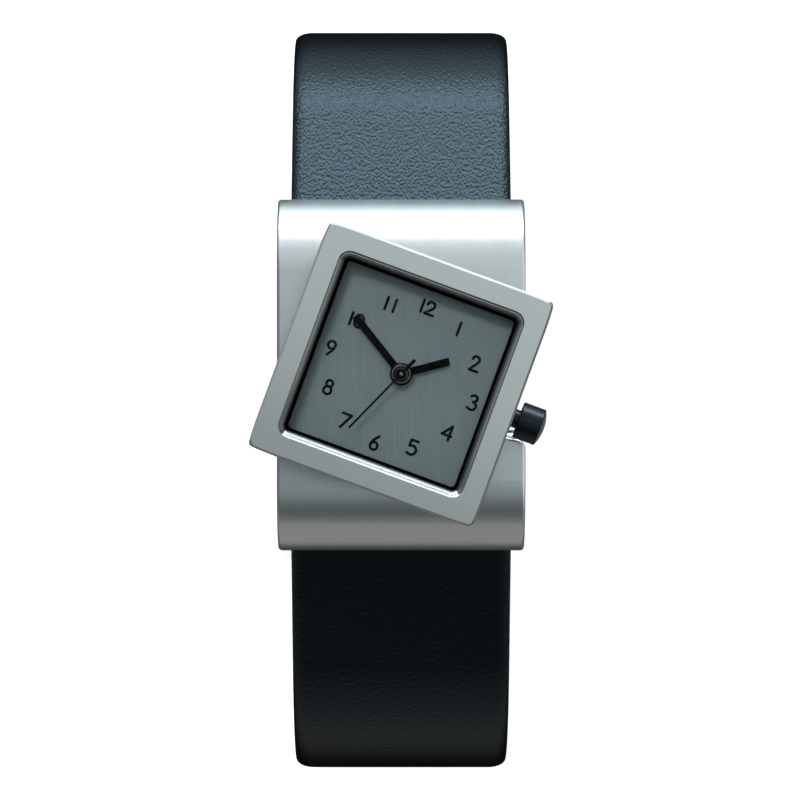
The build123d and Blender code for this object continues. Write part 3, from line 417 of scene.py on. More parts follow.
# Painted reflection: the bevel's colour turns nearly black towards its foot
painted_ring_reflection = add(tree, "ShaderNodeMix", {
    0: foot.outputs[0], 6: colour("#989C9E"), 7: colour("#08080A")}, data_type="RGBA")
satin_rough = shader.inputs["Roughness"].links[0].from_socket
polished = add(tree, "ShaderNodeMix", {0: in_bevel.outputs[0], 2: satin_rough, 3: BEVEL_ROUGHNESS})
tree.links.new(polished.outputs[0], shader.inputs["Roughness"])
satin_tone = shader.inputs["Base Color"].links[0].from_socket
bevel_tone = add(tree, "ShaderNodeMix", {
    0: in_bevel.outputs[0], 6: satin_tone, 7: painted_ring_reflection.outputs[2]}, data_type="RGBA")
tree.links.new(bevel_tone.outputs[2], shader.inputs["Base Color"])
print("bevels lie", BEVEL_DEPTHS, "mm below", round(FRAME_TOP / MM, 2), "mm")

# %% [markdown]
# ## Movement metals, plastic and rubber
# Nobody sees the movement until the head is opened, but each piece still has its own stuff:
# yellow brass plates and wheels, a copper coil, a nickel plated battery, a green board.

# %% Inner metals
# Brass from the rolling mill: a warm yellow with short streaks
brass, tree, shader = finish("rolled brass", Metallic=1.0)
brush(tree, shader, (0.15, 4.0), "#D6B26C", "#B8914A", (0.28, 0.4), 0.001)
# Enamelled wire: fine red-brown turns with dark gaps between them
copper, tree, shader = finish("enamelled copper wire", Metallic=1.0)
brush(tree, shader, (0.6, 0.07), "#C97B4C", "#8C4424", (0.2, 0.35), 0.01)
# Nickel on a drawn steel can: a yellowish silver, nearly smooth
nickel, tree, shader = finish("nickel plated steel", Metallic=1.0)
brush(tree, shader, (0.2, 1.5), "#C6C4BD", "#B2B0A9", (0.18, 0.28), 0.0008)
print("inner metals", brass.name, copper.name, nickel.name)

# %% Plastic, rubber and board
# Acetal has a waxy half gloss, and nitrile rubber a dull one with a moulded grain. The board's
# green solder mask is lacquer, a little uneven over the copper
acetal, tree, shader = finish("moulded white acetal", IOR=1.48)
speckle(tree, shader, 0.25, "#E8E6E0", "#DEDCD5", (0.36, 0.5), 0.01)
nitrile, tree, shader = finish("moulded nitrile rubber", IOR=1.52)
speckle(tree, shader, 0.15, "#222223", "#161617", (0.6, 0.8), 0.01)
board, tree, shader = finish("solder masked circuit board", IOR=1.5)
speckle(tree, shader, 0.4, "#246A42", "#174A2D", (0.25, 0.4), 0.004)
print("other inner finishes", acetal.name, nitrile.name, board.name)

# %% [markdown]
# ## Black plating and black lacquer
# The crown is plated and the hands are lacquered. Plating could be made as a dark metal, but that
# would mirror as steel does. Both are a black surface under a gloss, and differ in how much they
# reflect.

# %% Black finishes
# Plated steel, for the crown: no colour of its own, only a soft bluish reflection
black_plate, tree, shader = finish("black plated steel", IOR=1.5, Specular_IOR_Level=0.4,
                                   Specular_Tint=colour("#B8D8E8"))
speckle(tree, shader, 0.3, "#020203", "#010101", (0.3, 0.36), 0.004)
# Matt lacquer, for the hands and the ring round the dial: it swallows nearly all light
black_lacquer, tree, shader = finish("matt black lacquer", IOR=1.5, Specular_IOR_Level=0.02)
speckle(tree, shader, 0.1, "#030303", "#010101", (0.35, 0.5), 0.001)
print("black finishes", black_plate.name, black_lacquer.name)

# %% [markdown]
# ## Dial and crystal
# The dial is a brushed and galvanised plate, a dull dark grey with only a faint grain. The
# crystal over it is mineral glass. Bare glass has an IOR of 1.52 and would lay a grey veil over
# the black hands. The real one hardly reflects, as coated glass does, so its IOR is nearly as
# low as that of air.

# %% Dial and crystal finishes
dial_metal, tree, shader = finish("brushed galvanised dial plate", Metallic=0.2, Specular_IOR_Level=0.2)
brush(tree, shader, (0.12, 6.0), "#535F62", "#3B4446", (0.36, 0.5), 0.001)
glass, tree, shader = finish("coated mineral glass", Base_Color=colour("#FFFFFF"), Roughness=0.0,
                             IOR=1.08, Transmission_Weight=1.0)
# Lamp light goes straight through the crystal, so the frame's soft shadow falls on the dial
clear = add(tree, "ShaderNodeBsdfTransparent", {"Color": colour("#FFFFFF")})
in_shadow = add(tree, "ShaderNodeLightPath").outputs["Is Shadow Ray"]
pane = add(tree, "ShaderNodeMixShader", {0: in_shadow, 1: shader.outputs[0], 2: clear.outputs[0]})
tree.links.new(pane.outputs[0], tree.nodes["out"].inputs["Surface"])
print("dial and crystal finishes", dial_metal.name, glass.name)

# %% [markdown]
# ## Leather
# The strap is smooth calf leather, dyed black, with a fine pebble grain that shows where the
# window light grazes it. The lining is a soft, matt black leather. Noise alone would look like
# plaster, so the grain is a cell pattern: each cell is one pebble, and the creases between the
# cells are pressed in. A little noise shifts the cells and wrinkles the pebbles.

# %% Leather finishes
# In millimetres: a pebble, the wrinkles on it, the noise that shifts the cells, and how far
PEBBLE = 0.3
WRINKLE = 0.4
DRIFT = 1.2
DRIFT_SHIFT = 0.15
# The pebbles are shorter across the strap than along it
GRAIN_SHAPE = (1.25, 0.8, 0.8)
# How much the wrinkles count beside the pebbles, and how deep the grain is
WRINKLE_SHARE = 0.3
GRAIN_DEPTH = 0.045
calf, tree, shader = finish("fine grained black calf leather", IOR=1.45, Specular_IOR_Level=0.4,
                            Specular_Tint=colour("#A8D2E4"))
hide = add(tree, "ShaderNodeMapping", {
    "Vector": add(tree, "ShaderNodeTexCoord").outputs["Object"], "Scale": GRAIN_SHAPE}).outputs[0]
drift = add(tree, "ShaderNodeTexNoise", {"Vector": hide, "Scale": 1 / (DRIFT * MM), "Detail": 2.0})
shifted = add(tree, "ShaderNodeVectorMath", {0: drift.outputs["Color"], "Scale": DRIFT_SHIFT * MM},
              operation="SCALE")
loose = add(tree, "ShaderNodeVectorMath", {0: hide, 1: shifted.outputs["Vector"]})
pebbles = add(tree, "ShaderNodeTexVoronoi", {
    "Vector": loose.outputs["Vector"], "Scale": 1 / (PEBBLE * MM)}, feature="F1")
wrinkles = add(tree, "ShaderNodeTexNoise", {
    "Vector": hide, "Scale": 1 / (WRINKLE * MM), "Detail": 3.0, "Roughness": 0.6}).outputs["Fac"]
soft_wrinkles = add(tree, "ShaderNodeMath", {0: wrinkles, 1: WRINKLE_SHARE}, operation="MULTIPLY")
grain = add(tree, "ShaderNodeMath", {0: soft_wrinkles.outputs[0], 1: pebbles.outputs["Distance"]},
            operation="SUBTRACT")
vary(tree, shader, wrinkles, "#07090C", "#030405", (0.28, 0.4))
emboss(tree, shader, grain.outputs[0], 1.0, GRAIN_DEPTH)
# The lining has no pebbles, only a nap that scatters the light
lining, tree, shader = finish("black lining leather", IOR=1.4)
speckle(tree, shader, 0.3, "#1C1D20", "#101113", (0.6, 0.8), 0.03)
print("leather finishes", calf.name, lining.name)

# %% [markdown]
# ## Every metal part gets its finish
# Each CAD node names a material slot, so a table from slot to finish dresses them all without
# a line for each of them. A few were finished in another way, so a second table names these.

# %% Dress the CAD nodes
FINISHES = {
    "satin_steel": satin_steel,
    "polished_steel": mirror_steel,
    "black_gloss": black_plate,
    "silver_dial": dial_metal,
    "crystal_glass": glass,
    "brass": brass,
    "copper": copper,
    "battery_steel": nickel,
    "board_green": board,
    "rubber": nitrile,
    "white_plastic": acetal,
    "black_leather": calf,
    "lining_leather": lining,
}
OWN_FINISHES = {
    "base_plate": belt_steel,
    "bezel_frame": frame_steel,
    "crown_tube": black_plate,
    "dial_ring": black_lacquer,
    "hour_hand": black_lacquer,
    "minute_hand": black_lacquer,
    "second_hand": black_lacquer,
}
for entry in frame["record"]["subparts"]:
    node = entry["node"]
    data = frame["nodes"][node].data
    data.materials.clear()
    data.materials.append(OWN_FINISHES.get(node, FINISHES[entry["material_slot"]]))

# %% [markdown]
# ## Cutting the strap
# A side view could be made solid, as in CAD, but its edges are hard to round where it bends. So
# each layer is made as a strap maker does it: cut flat, its edges rounded, its holes punched,
# and then bent. A flat strip is lofted from rounded cross-sections: across is X, along is Y and
# the outer face is Z = 0.


# %% A flat strip with rounded edges
def cross_section(half, outer, inner, outer_round, inner_round):
    """Points round a strip's section, across and down, in millimetres.

    A round is how far it reaches across and down."""
    steps = 9
    corners = (
        (1, outer, -1, outer_round, 90, 0),
        (1, inner, 1, inner_round, 0, -90),
        (-1, inner, 1, inner_round, 270, 180),
        (-1, outer, -1, outer_round, 180, 90),
    )
    points = []
    for side, face, way, (run, drop), first, last in corners:
        for step in range(steps + 1):
            angle = math.radians(first + (last - first) * step / steps)
            points.append((
                side * (half - run) + run * math.cos(angle),
                -face + way * drop + drop * math.sin(angle),
            ))
    return points


def flat_strip(name, stations, closed=False):
    """A flat strip from stations: how far along, half width, outer and inner depth, edge rounds."""
    shape = bmesh.new()
    rings = []
    for along, *section in stations:
        rings.append([
            shape.verts.new((x * MM, along * MM, z * MM)) for x, z in cross_section(*section)
        ])
    for near, far in zip(rings, rings[1:]):
        count = len(near)
        for step in range(count):
            after = (step + 1) % count
            shape.faces.new((near[step], near[after], far[after], far[step]))
    if not closed:
        shape.faces.new(rings[0])
        shape.faces.new(rings[-1])
    bmesh.ops.recalc_face_normals(shape, faces=shape.faces)
    data = bpy.data.meshes.new(name)
    shape.to_mesh(data)
    shape.free()
    return data


def punch_mesh(outlines, depth):
    """Upright prisms from outlines in millimetres, as tools for cutting a flat strip."""
    shape = bmesh.new()
    for outline in outlines:
        lower = [shape.verts.new((x * MM, y * MM, -depth * MM)) for x, y in outline]
        upper = [shape.verts.new((x * MM, y * MM, depth * MM)) for x, y in outline]
        shape.faces.new(lower)
        shape.faces.new(upper)
        for step in range(len(outline)):
            after = (step + 1) % len(outline)
            shape.faces.new((lower[step], lower[after], upper[after], upper[step]))
    bmesh.ops.recalc_face_normals(shape, faces=shape.faces)
    data = bpy.data.meshes.new("punch")
    shape.to_mesh(data)
    shape.free()
    return data


print("section points", len(cross_section(11, 0, 1.1, (0.9, 0.9), (0.1, 0.1))))

# %% [markdown]
# ## Punching and bending
# A Curve modifier could bend the strip, but its twist is hard to control. This Geometry Nodes
# tree punches the strip with another mesh, finds the place on the path that is as far along as
# each point, and sets the point off from there, so the strip keeps its length and can't twist.


# %% The start and the end of a tree
def new_tree(name, inputs):
    """A geometry node tree with named inputs, and its input and output nodes."""
    tree = bpy.data.node_groups.new(name, "GeometryNodeTree")
    tree.interface.new_socket("Geometry", in_out="INPUT", socket_type="NodeSocketGeometry")
    for label, kind in inputs:
        tree.interface.new_socket(label, in_out="INPUT", socket_type=kind)
    tree.interface.new_socket("Geometry", in_out="OUTPUT", socket_type="NodeSocketGeometry")
    return tree, tree.nodes.new("NodeGroupInput"), tree.nodes.new("NodeGroupOutput")


def close_tree(tree, geometry, given, result):
    """End a tree: instances become real geometry, and all of it gets the given material."""
    whole = add(tree, "GeometryNodeRealizeInstances", {"Geometry": geometry})
    coated = add(tree, "GeometryNodeSetMaterial", {
        "Geometry": whole.outputs["Geometry"], "Material": given.outputs["Material"]})
    tree.links.new(coated.outputs["Geometry"], result.inputs["Geometry"])


# %% Punch a strip and bend it along a path
bend_tree, given, result = new_tree("punch and bend", (
    ("Punch", "NodeSocketObject"),
    ("Path", "NodeSocketObject"),
    ("Across", "NodeSocketVector"),
    ("Material", "NodeSocketMaterial"),
))
punch = add(bend_tree, "GeometryNodeObjectInfo", {"Object": given.outputs["Punch"]})
cut = add(bend_tree, "GeometryNodeMeshBoolean", {
    "Mesh 1": given.outputs["Geometry"], "Mesh 2": punch.outputs["Geometry"]},
    operation="DIFFERENCE", solver="EXACT")
path = add(bend_tree, "GeometryNodeObjectInfo", {"Object": given.outputs["Path"]})
flat_place = add(bend_tree, "GeometryNodeInputPosition")
place = add(bend_tree, "ShaderNodeSeparateXYZ", {0: flat_place.outputs[0]})
along = add(bend_tree, "GeometryNodeSampleCurve", {
    "Curves": path.outputs["Geometry"], "Length": place.outputs["Y"]}, mode="LENGTH")
outward = add(bend_tree, "ShaderNodeVectorMath", {
    0: given.outputs["Across"], 1: along.outputs["Tangent"]}, operation="CROSS_PRODUCT")
sideways = add(bend_tree, "ShaderNodeVectorMath", {
    0: given.outputs["Across"], "Scale": place.outputs["X"]}, operation="SCALE")
lifted = add(bend_tree, "ShaderNodeVectorMath", {
    0: outward.outputs["Vector"], "Scale": place.outputs["Z"]}, operation="SCALE")
beside = add(bend_tree, "ShaderNodeVectorMath", {
    0: sideways.outputs["Vector"], 1: lifted.outputs["Vector"]})
bent = add(bend_tree, "ShaderNodeVectorMath", {
    0: along.outputs["Position"], 1: beside.outputs["Vector"]})
moved = add(bend_tree, "GeometryNodeSetPosition", {
    "Geometry": cut.outputs["Mesh"], "Position": bent.outputs["Vector"]})
close_tree(bend_tree, moved.outputs["Geometry"], given, result)
print("bend tree nodes", len(bend_tree.nodes))


# %% Run a tree and keep its result
def grown(name, data, tree, values):
    """The mesh that a node tree makes from this data and these inputs, as a finished piece."""
    maker = put("maker", data)
    modifier = maker.modifiers.new("nodes", "NODES")
    modifier.node_group = tree
    for socket in tree.interface.items_tree:
        if socket.in_out == "INPUT" and socket.name in values:
            modifier[socket.identifier] = values[socket.name]
    graph = bpy.context.evaluated_depsgraph_get()
    mesh = bpy.data.meshes.new_from_object(maker.evaluated_get(graph), depsgraph=graph)
    maker.modifiers.remove(modifier)
    bpy.data.objects.remove(maker)
    # Points within a thousandth of a millimetre are one, and edges over 35 degrees stay sharp
    shape = bmesh.new()
    shape.from_mesh(mesh)
    bmesh.ops.remove_doubles(shape, verts=shape.verts, dist=0.001 * MM)
    bmesh.ops.recalc_face_normals(shape, faces=shape.faces)
    shape.to_mesh(mesh)
    shape.free()
    mesh.shade_smooth()
    mesh.set_sharp_from_angle(angle=math.radians(35))
    mesh.name = name
    piece = put(name, mesh)
    print(name, len(mesh.polygons), "faces")
    return piece


# %% [markdown]
# ## The strap's paths
# Each half starts under its spring bar, wraps round it, runs out and down round the wrist,
# and comes back flat below it. A curve drawn by hand would only roughly keep its length. So a
# path is a start point, a heading and legs: a straight leg has a length, and a curved leg has a
# radius and a turn. It follows the leather's outer face. Places are millimetres from the pivot.


# %% Paths
def route(start, heading, legs, spacing=0.12):
    """Points along straight and curved legs. A leg is a length and 0, or a radius and a turn left."""
    point, points = Vector(start), [Vector(start)]
    for size, turn in legs:
        length = size if turn == 0 else size * abs(math.radians(turn))
        count = max(2, round(length / spacing))
        for step in range(count):
            bend = turn / count
            chord = length / count
            middle = math.radians(heading + bend / 2)
            point = point + Vector((math.cos(middle), math.sin(middle))) * chord
            heading += bend
            points.append(point.copy())
    return points


def path_object(points, place):
    """A curve object through points of a side view, which place turns to metres in the frame."""
    curve = bpy.data.curves.new("path", "CURVE")
    curve.dimensions = "3D"
    line = curve.splines.new("POLY")
    line.points.add(len(points) - 1)
    for spot, point in zip(line.points, points):
        spot.co = (*place(*point), 1)
    return put("path", curve)


def length_of(points):
    """How long a path of points is."""
    return sum((after - before).length for before, after in zip(points, points[1:]))


# %% Both halves of the strap
# The spring bar's place, and the radius and turn of the leather round it
BAR = Vector((14.0, -7.05))
RING = 1.9
WRAP = 262
# How far from the pivot the buckle bar and the hole in use lie, and the turn round that bar
BUCKLE_BAR = 6.9
BUCKLE_LOOP = (1.2, -200)
USED_HOLE = 12.4
# The long half steps down under the short one: the radius, turn and reach of half a step. Then
# its tail ends this far beyond the pivot
STEP_RADIUS = 9.949
STEP_TURN = 20
STEP_HALF = 3.403
TAIL_END = 19.0


def ring_start(lean):
    """Where the leather's turned end starts, round the spring bar, and its heading there."""
    angle = math.radians(90 - lean + WRAP)
    return BAR + Vector((math.cos(angle), math.sin(angle))) * RING, -lean + WRAP


start_12, heading_12 = ring_start(32)
legs_12 = [
    (RING, -WRAP),
    (13.727, 0),  # out and down
    (20.0, -58),  # round the shoulder, until it points straight down
    (17.326, -90),  # round the lower corner
    (18.724 + BUCKLE_BAR, 0),  # flat to the buckle bar
    BUCKLE_LOOP,
]
start_6, heading_6 = ring_start(27)
legs_6 = [
    (RING, -WRAP),
    (16.190, 0),
    (22.0, -63),
    (15.891, -90),
    (25.409 - USED_HOLE - STEP_HALF, 0),  # flat to the step
    (STEP_RADIUS, STEP_TURN),
    (STEP_RADIUS, -STEP_TURN),
    (USED_HOLE - STEP_HALF + TAIL_END, 0),  # flat to the end of the tail
]
path_12 = route(start_12, heading_12, legs_12)
path_6 = route(start_6, heading_6, legs_6)
wrap_length = RING * math.radians(WRAP)
print("strap halves are", round(length_of(path_12) - wrap_length, 1), "and",
      round(length_of(path_6) - wrap_length, 1), "mm long; ends", path_12[-1], path_6[-1])

# %% [markdown]
# ## The strap halves
# The short half carries the buckle: its end is thinned and turned round the buckle bar, with
# a slot for the tongue. The long half ends in a rounded tail with punched holes. One thick strip
# would show no join at its edge, so each half is an outer layer, with soft rounded edges, and a
# thinner lining under it.

# %% Sections along the strap
# Half the width, and the depths of the outer layer's and the lining's inner face
HALF = 11.0
TOP = 1.1
FULL = 2.0
TAIL_ROUND = 8.0
# Edge rounds, across and down: the outer layer beside 12 and beside 6, an edge at the join, and
# the lining's edge towards the wrist
EDGE_12 = (1.7, 0.85)
EDGE_6 = (1.8, 0.95)
CUT_EDGE = (0.1, 0.1)
LINING_EDGE = (0.5, 0.4)
LINING_INSET = 0.05
# How much thinner the leather and its round are at the buckle bar, and the length of that slope
THINNED = 0.55
EDGE_THINNED = 0.45
THIN_RUN = 4
end_12 = length_of(path_12)
end_6 = length_of(path_6)
loop_start = end_12 - BUCKLE_LOOP[0] * math.radians(-BUCKLE_LOOP[1])


def stations(first, last, section, spacing=0.5):
    """Evenly spaced stations, with the section that a function gives for each place."""
    count = max(2, round((last - first) / spacing))
    spots = [first + (last - first) * step / count for step in range(count + 1)]
    return [(spot, *section(spot)) for spot in spots]


def tail_half(spot):
    """Half the width of the half beside 6, which gets narrower at its rounded tail."""
    into = spot - (end_6 - TAIL_ROUND)
    if into <= 0:
        return HALF
    return HALF - TAIL_ROUND + math.sqrt(max(0.0, TAIL_ROUND ** 2 - min(into, TAIL_ROUND) ** 2))


def top_12(spot):
    """The outer layer beside 12: full thickness, thinned where it wraps the buckle bar."""
    thin = min(1, max(0, (spot - loop_start + THIN_RUN) / THIN_RUN))
    edge = (EDGE_12[0], EDGE_12[1] - EDGE_THINNED * thin)
    return HALF, 0, TOP - THINNED * thin, edge, CUT_EDGE


def top_6(spot):
    """The outer layer beside 6, with its tail."""
    return tail_half(spot), 0, TOP, EDGE_6, CUT_EDGE


def lining_12(spot):
    """The lining beside 12, which is as wide all along."""
    return HALF - LINING_INSET, TOP, FULL, CUT_EDGE, LINING_EDGE


def lining_6(spot):
    """The lining beside 6, with its tail."""
    return tail_half(spot) - LINING_INSET, TOP, FULL, CUT_EDGE, LINING_EDGE


print("buckle loop starts at", round(loop_start, 2), "mm")


# %% Paths and punches
def beside_pivot(side):
    """Turns the side view's out and up to metres: side is 1 beside 12 and -1 beside 6."""
    return lambda out, up: (PIVOT.x, PIVOT.y + side * out * MM, PIVOT.z + up * MM)


def ring_of(centre, radius, stretch=0):
    """An outline of a round hole, or of a long one when it is stretched along the strap."""
    count = 40
    outline = []
    for step in range(count):
        angle = 2 * math.pi * step / count
        shift = math.copysign(stretch, math.sin(angle)) if stretch else 0
        outline.append((radius * math.cos(angle), centre + radius * math.sin(angle) + shift))
    return outline


# The tongue uses a long hole: its radius and stretch. Spare round ones lie a pitch apart, one
# before it and three after it
LONG_HOLE = (1.2, 1.8)
SPARE_RADIUS = 0.95
HOLE_PITCH = 6.5
used_hole = end_6 - TAIL_END - USED_HOLE
holes = [ring_of(used_hole, *LONG_HOLE)]
holes += [ring_of(used_hole + HOLE_PITCH * step, SPARE_RADIUS) for step in (-1, 1, 2, 3)]
# The slot for the tongue starts before the buckle loop and is open at the leather's end
SLOT_HALF = 1.1
slot_first = loop_start - 1.4
slot_last = end_12 + 1
slot_box = [(-SLOT_HALF, slot_first), (SLOT_HALF, slot_first),
            (SLOT_HALF, slot_last), (-SLOT_HALF, slot_last)]
PUNCH_DEPTH = 4
hole_punch = put("hole punch", punch_mesh(holes, PUNCH_DEPTH))
slot_punch = put("slot punch", punch_mesh([slot_box], PUNCH_DEPTH))
curve_12 = path_object(path_12, beside_pivot(1))
curve_6 = path_object(path_6, beside_pivot(-1))
print("holes", len(holes), "the one in use at", round(used_hole, 2), "mm")

# %% Strap layers
# The lining starts beyond the spring bar, and beside 12 it ends before the buckle bar
LINING_START = 1.75
LINING_STOP = 0.6
lining_first = wrap_length + LINING_START
half_12 = {"Punch": slot_punch, "Path": curve_12, "Across": (1.0, 0.0, 0.0)}
half_6 = {"Punch": hole_punch, "Path": curve_6, "Across": (-1.0, 0.0, 0.0)}
layers = (
    ("strap_12_outer", "strap_12_top", "black_leather", 0, end_12, top_12, half_12),
    ("strap_12_inner", "strap_12_lining", "lining_leather", lining_first, loop_start - LINING_STOP,
     lining_12, half_12),
    ("strap_6_outer", "strap_6_top", "black_leather", 0, end_6, top_6, half_6),
    ("strap_6_inner", "strap_6_lining", "lining_leather", lining_first, end_6, lining_6, half_6),
)
for name, node, slot, first, last, section, half in layers:
    strip = flat_strip(name, stations(first, last, section))
    layer = grown(name, strip, bend_tree, {**half, "Material": FINISHES[slot]})
    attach(layer, "base")
    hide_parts(node)

# %% [markdown]
# ## Keepers
# Two narrow leather loops hold the tail down: one is fixed and the other one slides. Each could
# be a box with a hole, but it would look cut from a block, so it is a strip with rounded edges,
# bent round a flattened ring by the strap's tree.

# %% Keeper loops
# The loop's outer width, height and corners, and the strip's half width and thickness
KEEPER_WIDE = 24.6
KEEPER_HIGH = 7.0
KEEPER_CORNER = 1.5
KEEPER_HALF = 2.5
KEEPER_THICK = 1.1
across_run = KEEPER_WIDE - 2 * KEEPER_CORNER
upright = KEEPER_HIGH - 2 * KEEPER_CORNER
corner = (KEEPER_CORNER, 90)
keeper_legs = [(across_run / 2, 0), corner, (upright, 0), corner, (across_run, 0), corner,
               (upright, 0), corner, (across_run / 2, 0)]
keeper_path = route((0, 0), 0, keeper_legs)


def keeper_section(spot):
    """The section of a keeper's strip, which is the same all along."""
    return KEEPER_HALF, 0, KEEPER_THICK, (0.4, 0.4), (0.25, 0.25)


no_punch = put("no punch", bpy.data.meshes.new("nothing"))
# Each keeper starts so many millimetres from the pivot, towards 12
for name, node, body, start in (
    ("keeper_fixed", "fixed_keeper", "base", 0.0),
    ("keeper_sliding", "sliding_keeper", "keeper", 7.5),
):
    middle = PIVOT.y + (start + KEEPER_HALF) * MM
    curve = path_object(keeper_path, lambda x, z: (x * MM, middle, z * MM))
    strip = flat_strip(name, stations(0, length_of(keeper_path), keeper_section, 0.3), closed=True)
    keeper = grown(name, strip, bend_tree, {
        "Punch": no_punch, "Path": curve, "Across": (0.0, 1.0, 0.0), "Material": calf})
    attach(keeper, body)
    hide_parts(node)
    bpy.data.objects.remove(curve)
for tool in (hole_punch, slot_punch, no_punch, curve_12, curve_6):
    bpy.data.objects.remove(tool)

# %% [markdown]
# ## Numerals
# The hours 1 to 12 are printed on the dial in a thin, even line. A font would give them other
# shapes, so each numeral is drawn as pen strokes: straight ones, curved ones and closed loops,
# in millimetres right and up from the middle of the dial.

# %% Strokes
# In this order: 12, 11, 10, and then 1 to 9
STROKES = (
    ("line", ((-0.34, 6.36), (-0.34, 7.59))),
    ("curve", ((0.10, 7.25), (0.20, 7.50), (0.48, 7.60), (0.77, 7.46), (0.82, 7.18), (0.60, 6.88))),
    ("line", ((0.60, 6.88), (0.06, 6.36), (0.94, 6.36))),
    ("line", ((-3.71, 5.40), (-3.71, 6.64))),
    ("line", ((-2.87, 5.40), (-2.87, 6.64))),
    ("line", ((-6.43, 2.82), (-6.43, 4.05))),
    ("loop", ((-5.60, 4.06), (-6.02, 3.43), (-5.60, 2.80), (-5.18, 3.43))),
    ("line", ((3.77, 5.43), (3.77, 6.72))),
    ("curve", ((6.03, 3.82), (6.12, 4.06), (6.38, 4.16), (6.65, 4.02), (6.70, 3.74), (6.50, 3.38))),
    ("line", ((6.50, 3.38), (6.03, 2.73), (6.88, 2.73))),
    ("curve", ((7.18, 0.36), (7.42, 0.52), (7.74, 0.42), (7.80, 0.12), (7.50, -0.12))),
    ("curve", ((7.50, -0.12), (7.84, -0.30), (7.88, -0.66), (7.56, -0.92), (7.12, -0.79))),
    ("line", ((6.67, -4.04), (5.71, -4.03), (6.48, -3.06), (6.48, -4.49))),
    ("line", ((3.89, -5.61), (3.18, -5.61), (3.16, -6.22))),
    ("curve", ((3.16, -6.22), (3.60, -6.14), (3.90, -6.42), (3.86, -6.80), (3.54, -7.02), (3.12, -6.93))),
    ("curve", ((0.12, -6.42), (-0.18, -6.76), (-0.40, -7.16), (-0.46, -7.46))),
    ("loop", ((-0.10, -7.09), (-0.46, -7.46), (-0.10, -7.83), (0.26, -7.46))),
    ("line", ((-4.01, -5.46), (-3.09, -5.46), (-3.81, -6.85))),
    ("loop", ((-6.20, -2.93), (-6.52, -3.24), (-6.20, -3.55), (-5.88, -3.24))),
    ("loop", ((-6.20, -3.55), (-6.58, -3.93), (-6.20, -4.31), (-5.82, -3.93))),
    ("loop", ((-7.29, 0.72), (-7.66, 0.35), (-7.29, -0.02), (-6.92, 0.35))),
    ("curve", ((-6.93, 0.32), (-7.00, 0.02), (-7.22, -0.36), (-7.45, -0.66))),
)
HANDLES = {"line": "VECTOR", "curve": "AUTO", "loop": "AUTO"}
# How far the ink lies above the dial, in millimetres
INK_LIFT = 0.012
ink_lines = bpy.data.curves.new("ink lines", "CURVE")
ink_lines.dimensions = "3D"
ink_lines.resolution_u = 10
pen_moves = []
for kind, points in STROKES:
    # A line with a corner is drawn as separate straight moves, so each keeps its full width
    moves = zip(points, points[1:]) if kind == "line" else [points]
    pen_moves += [(kind, move) for move in moves]
for kind, points in pen_moves:
    stroke = ink_lines.splines.new("BEZIER")
    stroke.use_cyclic_u = kind == "loop"
    stroke.bezier_points.add(len(points) - 1)
    for spot, (right, up) in zip(stroke.bezier_points, points):
        spot.co = on_head(right, up, DIAL_TOP + INK_LIFT * MM)
        spot.handle_left_type = HANDLES[kind]
        spot.handle_right_type = HANDLES[kind]
print("strokes", len(STROKES), "pen moves", len(pen_moves))

# %% [markdown]
# ## Ink along the strokes
# The ink is a thin film with round ends. A picture of it would blur close up, so it is real
# geometry: a node tree lays a flat band along every stroke, and a squashed ball on each end.

# %% The ink's tree
ink_tree, given, result = new_tree("ink strokes", (
    ("Line Width", "NodeSocketFloat"),
    ("Film", "NodeSocketFloat"),
    ("Material", "NodeSocketMaterial"),
))
half_line = add(ink_tree, "ShaderNodeMath", {0: given.outputs["Line Width"], 1: 2.0},
                operation="DIVIDE")
flatness = add(ink_tree, "ShaderNodeMath", {0: given.outputs["Film"], 1: half_line.outputs[0]},
               operation="DIVIDE")
level = add(ink_tree, "GeometryNodeSetCurveNormal", {"Curve": given.outputs["Geometry"]}, mode="Z_UP")
section = add(ink_tree, "GeometryNodeCurvePrimitiveCircle", {
    "Resolution": 12, "Radius": half_line.outputs[0]}, mode="RADIUS")
squeeze = add(ink_tree, "ShaderNodeCombineXYZ", {"X": 1.0, "Y": flatness.outputs[0], "Z": 1.0})
band = add(ink_tree, "GeometryNodeTransform", {
    "Geometry": section.outputs["Curve"], "Scale": squeeze.outputs[0]})
ribbon = add(ink_tree, "GeometryNodeCurveToMesh", {
    "Curve": level.outputs[0], "Profile Curve": band.outputs["Geometry"], "Fill Caps": True})
ends = add(ink_tree, "GeometryNodeCurveEndpointSelection")
ball = add(ink_tree, "GeometryNodeMeshUVSphere", {
    "Segments": 16, "Rings": 6, "Radius": half_line.outputs[0]})
press = add(ink_tree, "ShaderNodeCombineXYZ", {"X": 1.0, "Y": 1.0, "Z": flatness.outputs[0]})
blots = add(ink_tree, "GeometryNodeInstanceOnPoints", {
    "Points": given.outputs["Geometry"], "Selection": ends.outputs[0],
    "Instance": ball.outputs["Mesh"], "Scale": press.outputs[0]})
print_layer = add(ink_tree, "GeometryNodeJoinGeometry")
ink_tree.links.new(ribbon.outputs["Mesh"], print_layer.inputs[0])
ink_tree.links.new(blots.outputs["Instances"], print_layer.inputs[0])
close_tree(ink_tree, print_layer.outputs["Geometry"], given, result)
print("ink tree nodes", len(ink_tree.nodes))

# %% Print the numerals
# The line's width and the film's half thickness, in millimetres
INK_WIDTH = 0.27
INK_FILM = 0.01
# Pad printed ink: a matt black film that hardly shines
ink, tree, shader = finish("pad printed black ink", IOR=1.5, Specular_IOR_Level=0.06)
speckle(tree, shader, 0.05, "#030304", "#010101", (0.45, 0.6), 0.001)
numerals = grown("hour_numerals", ink_lines, ink_tree, {
    "Line Width": INK_WIDTH * MM, "Film": INK_FILM * MM, "Material": ink})
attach(numerals, "head")

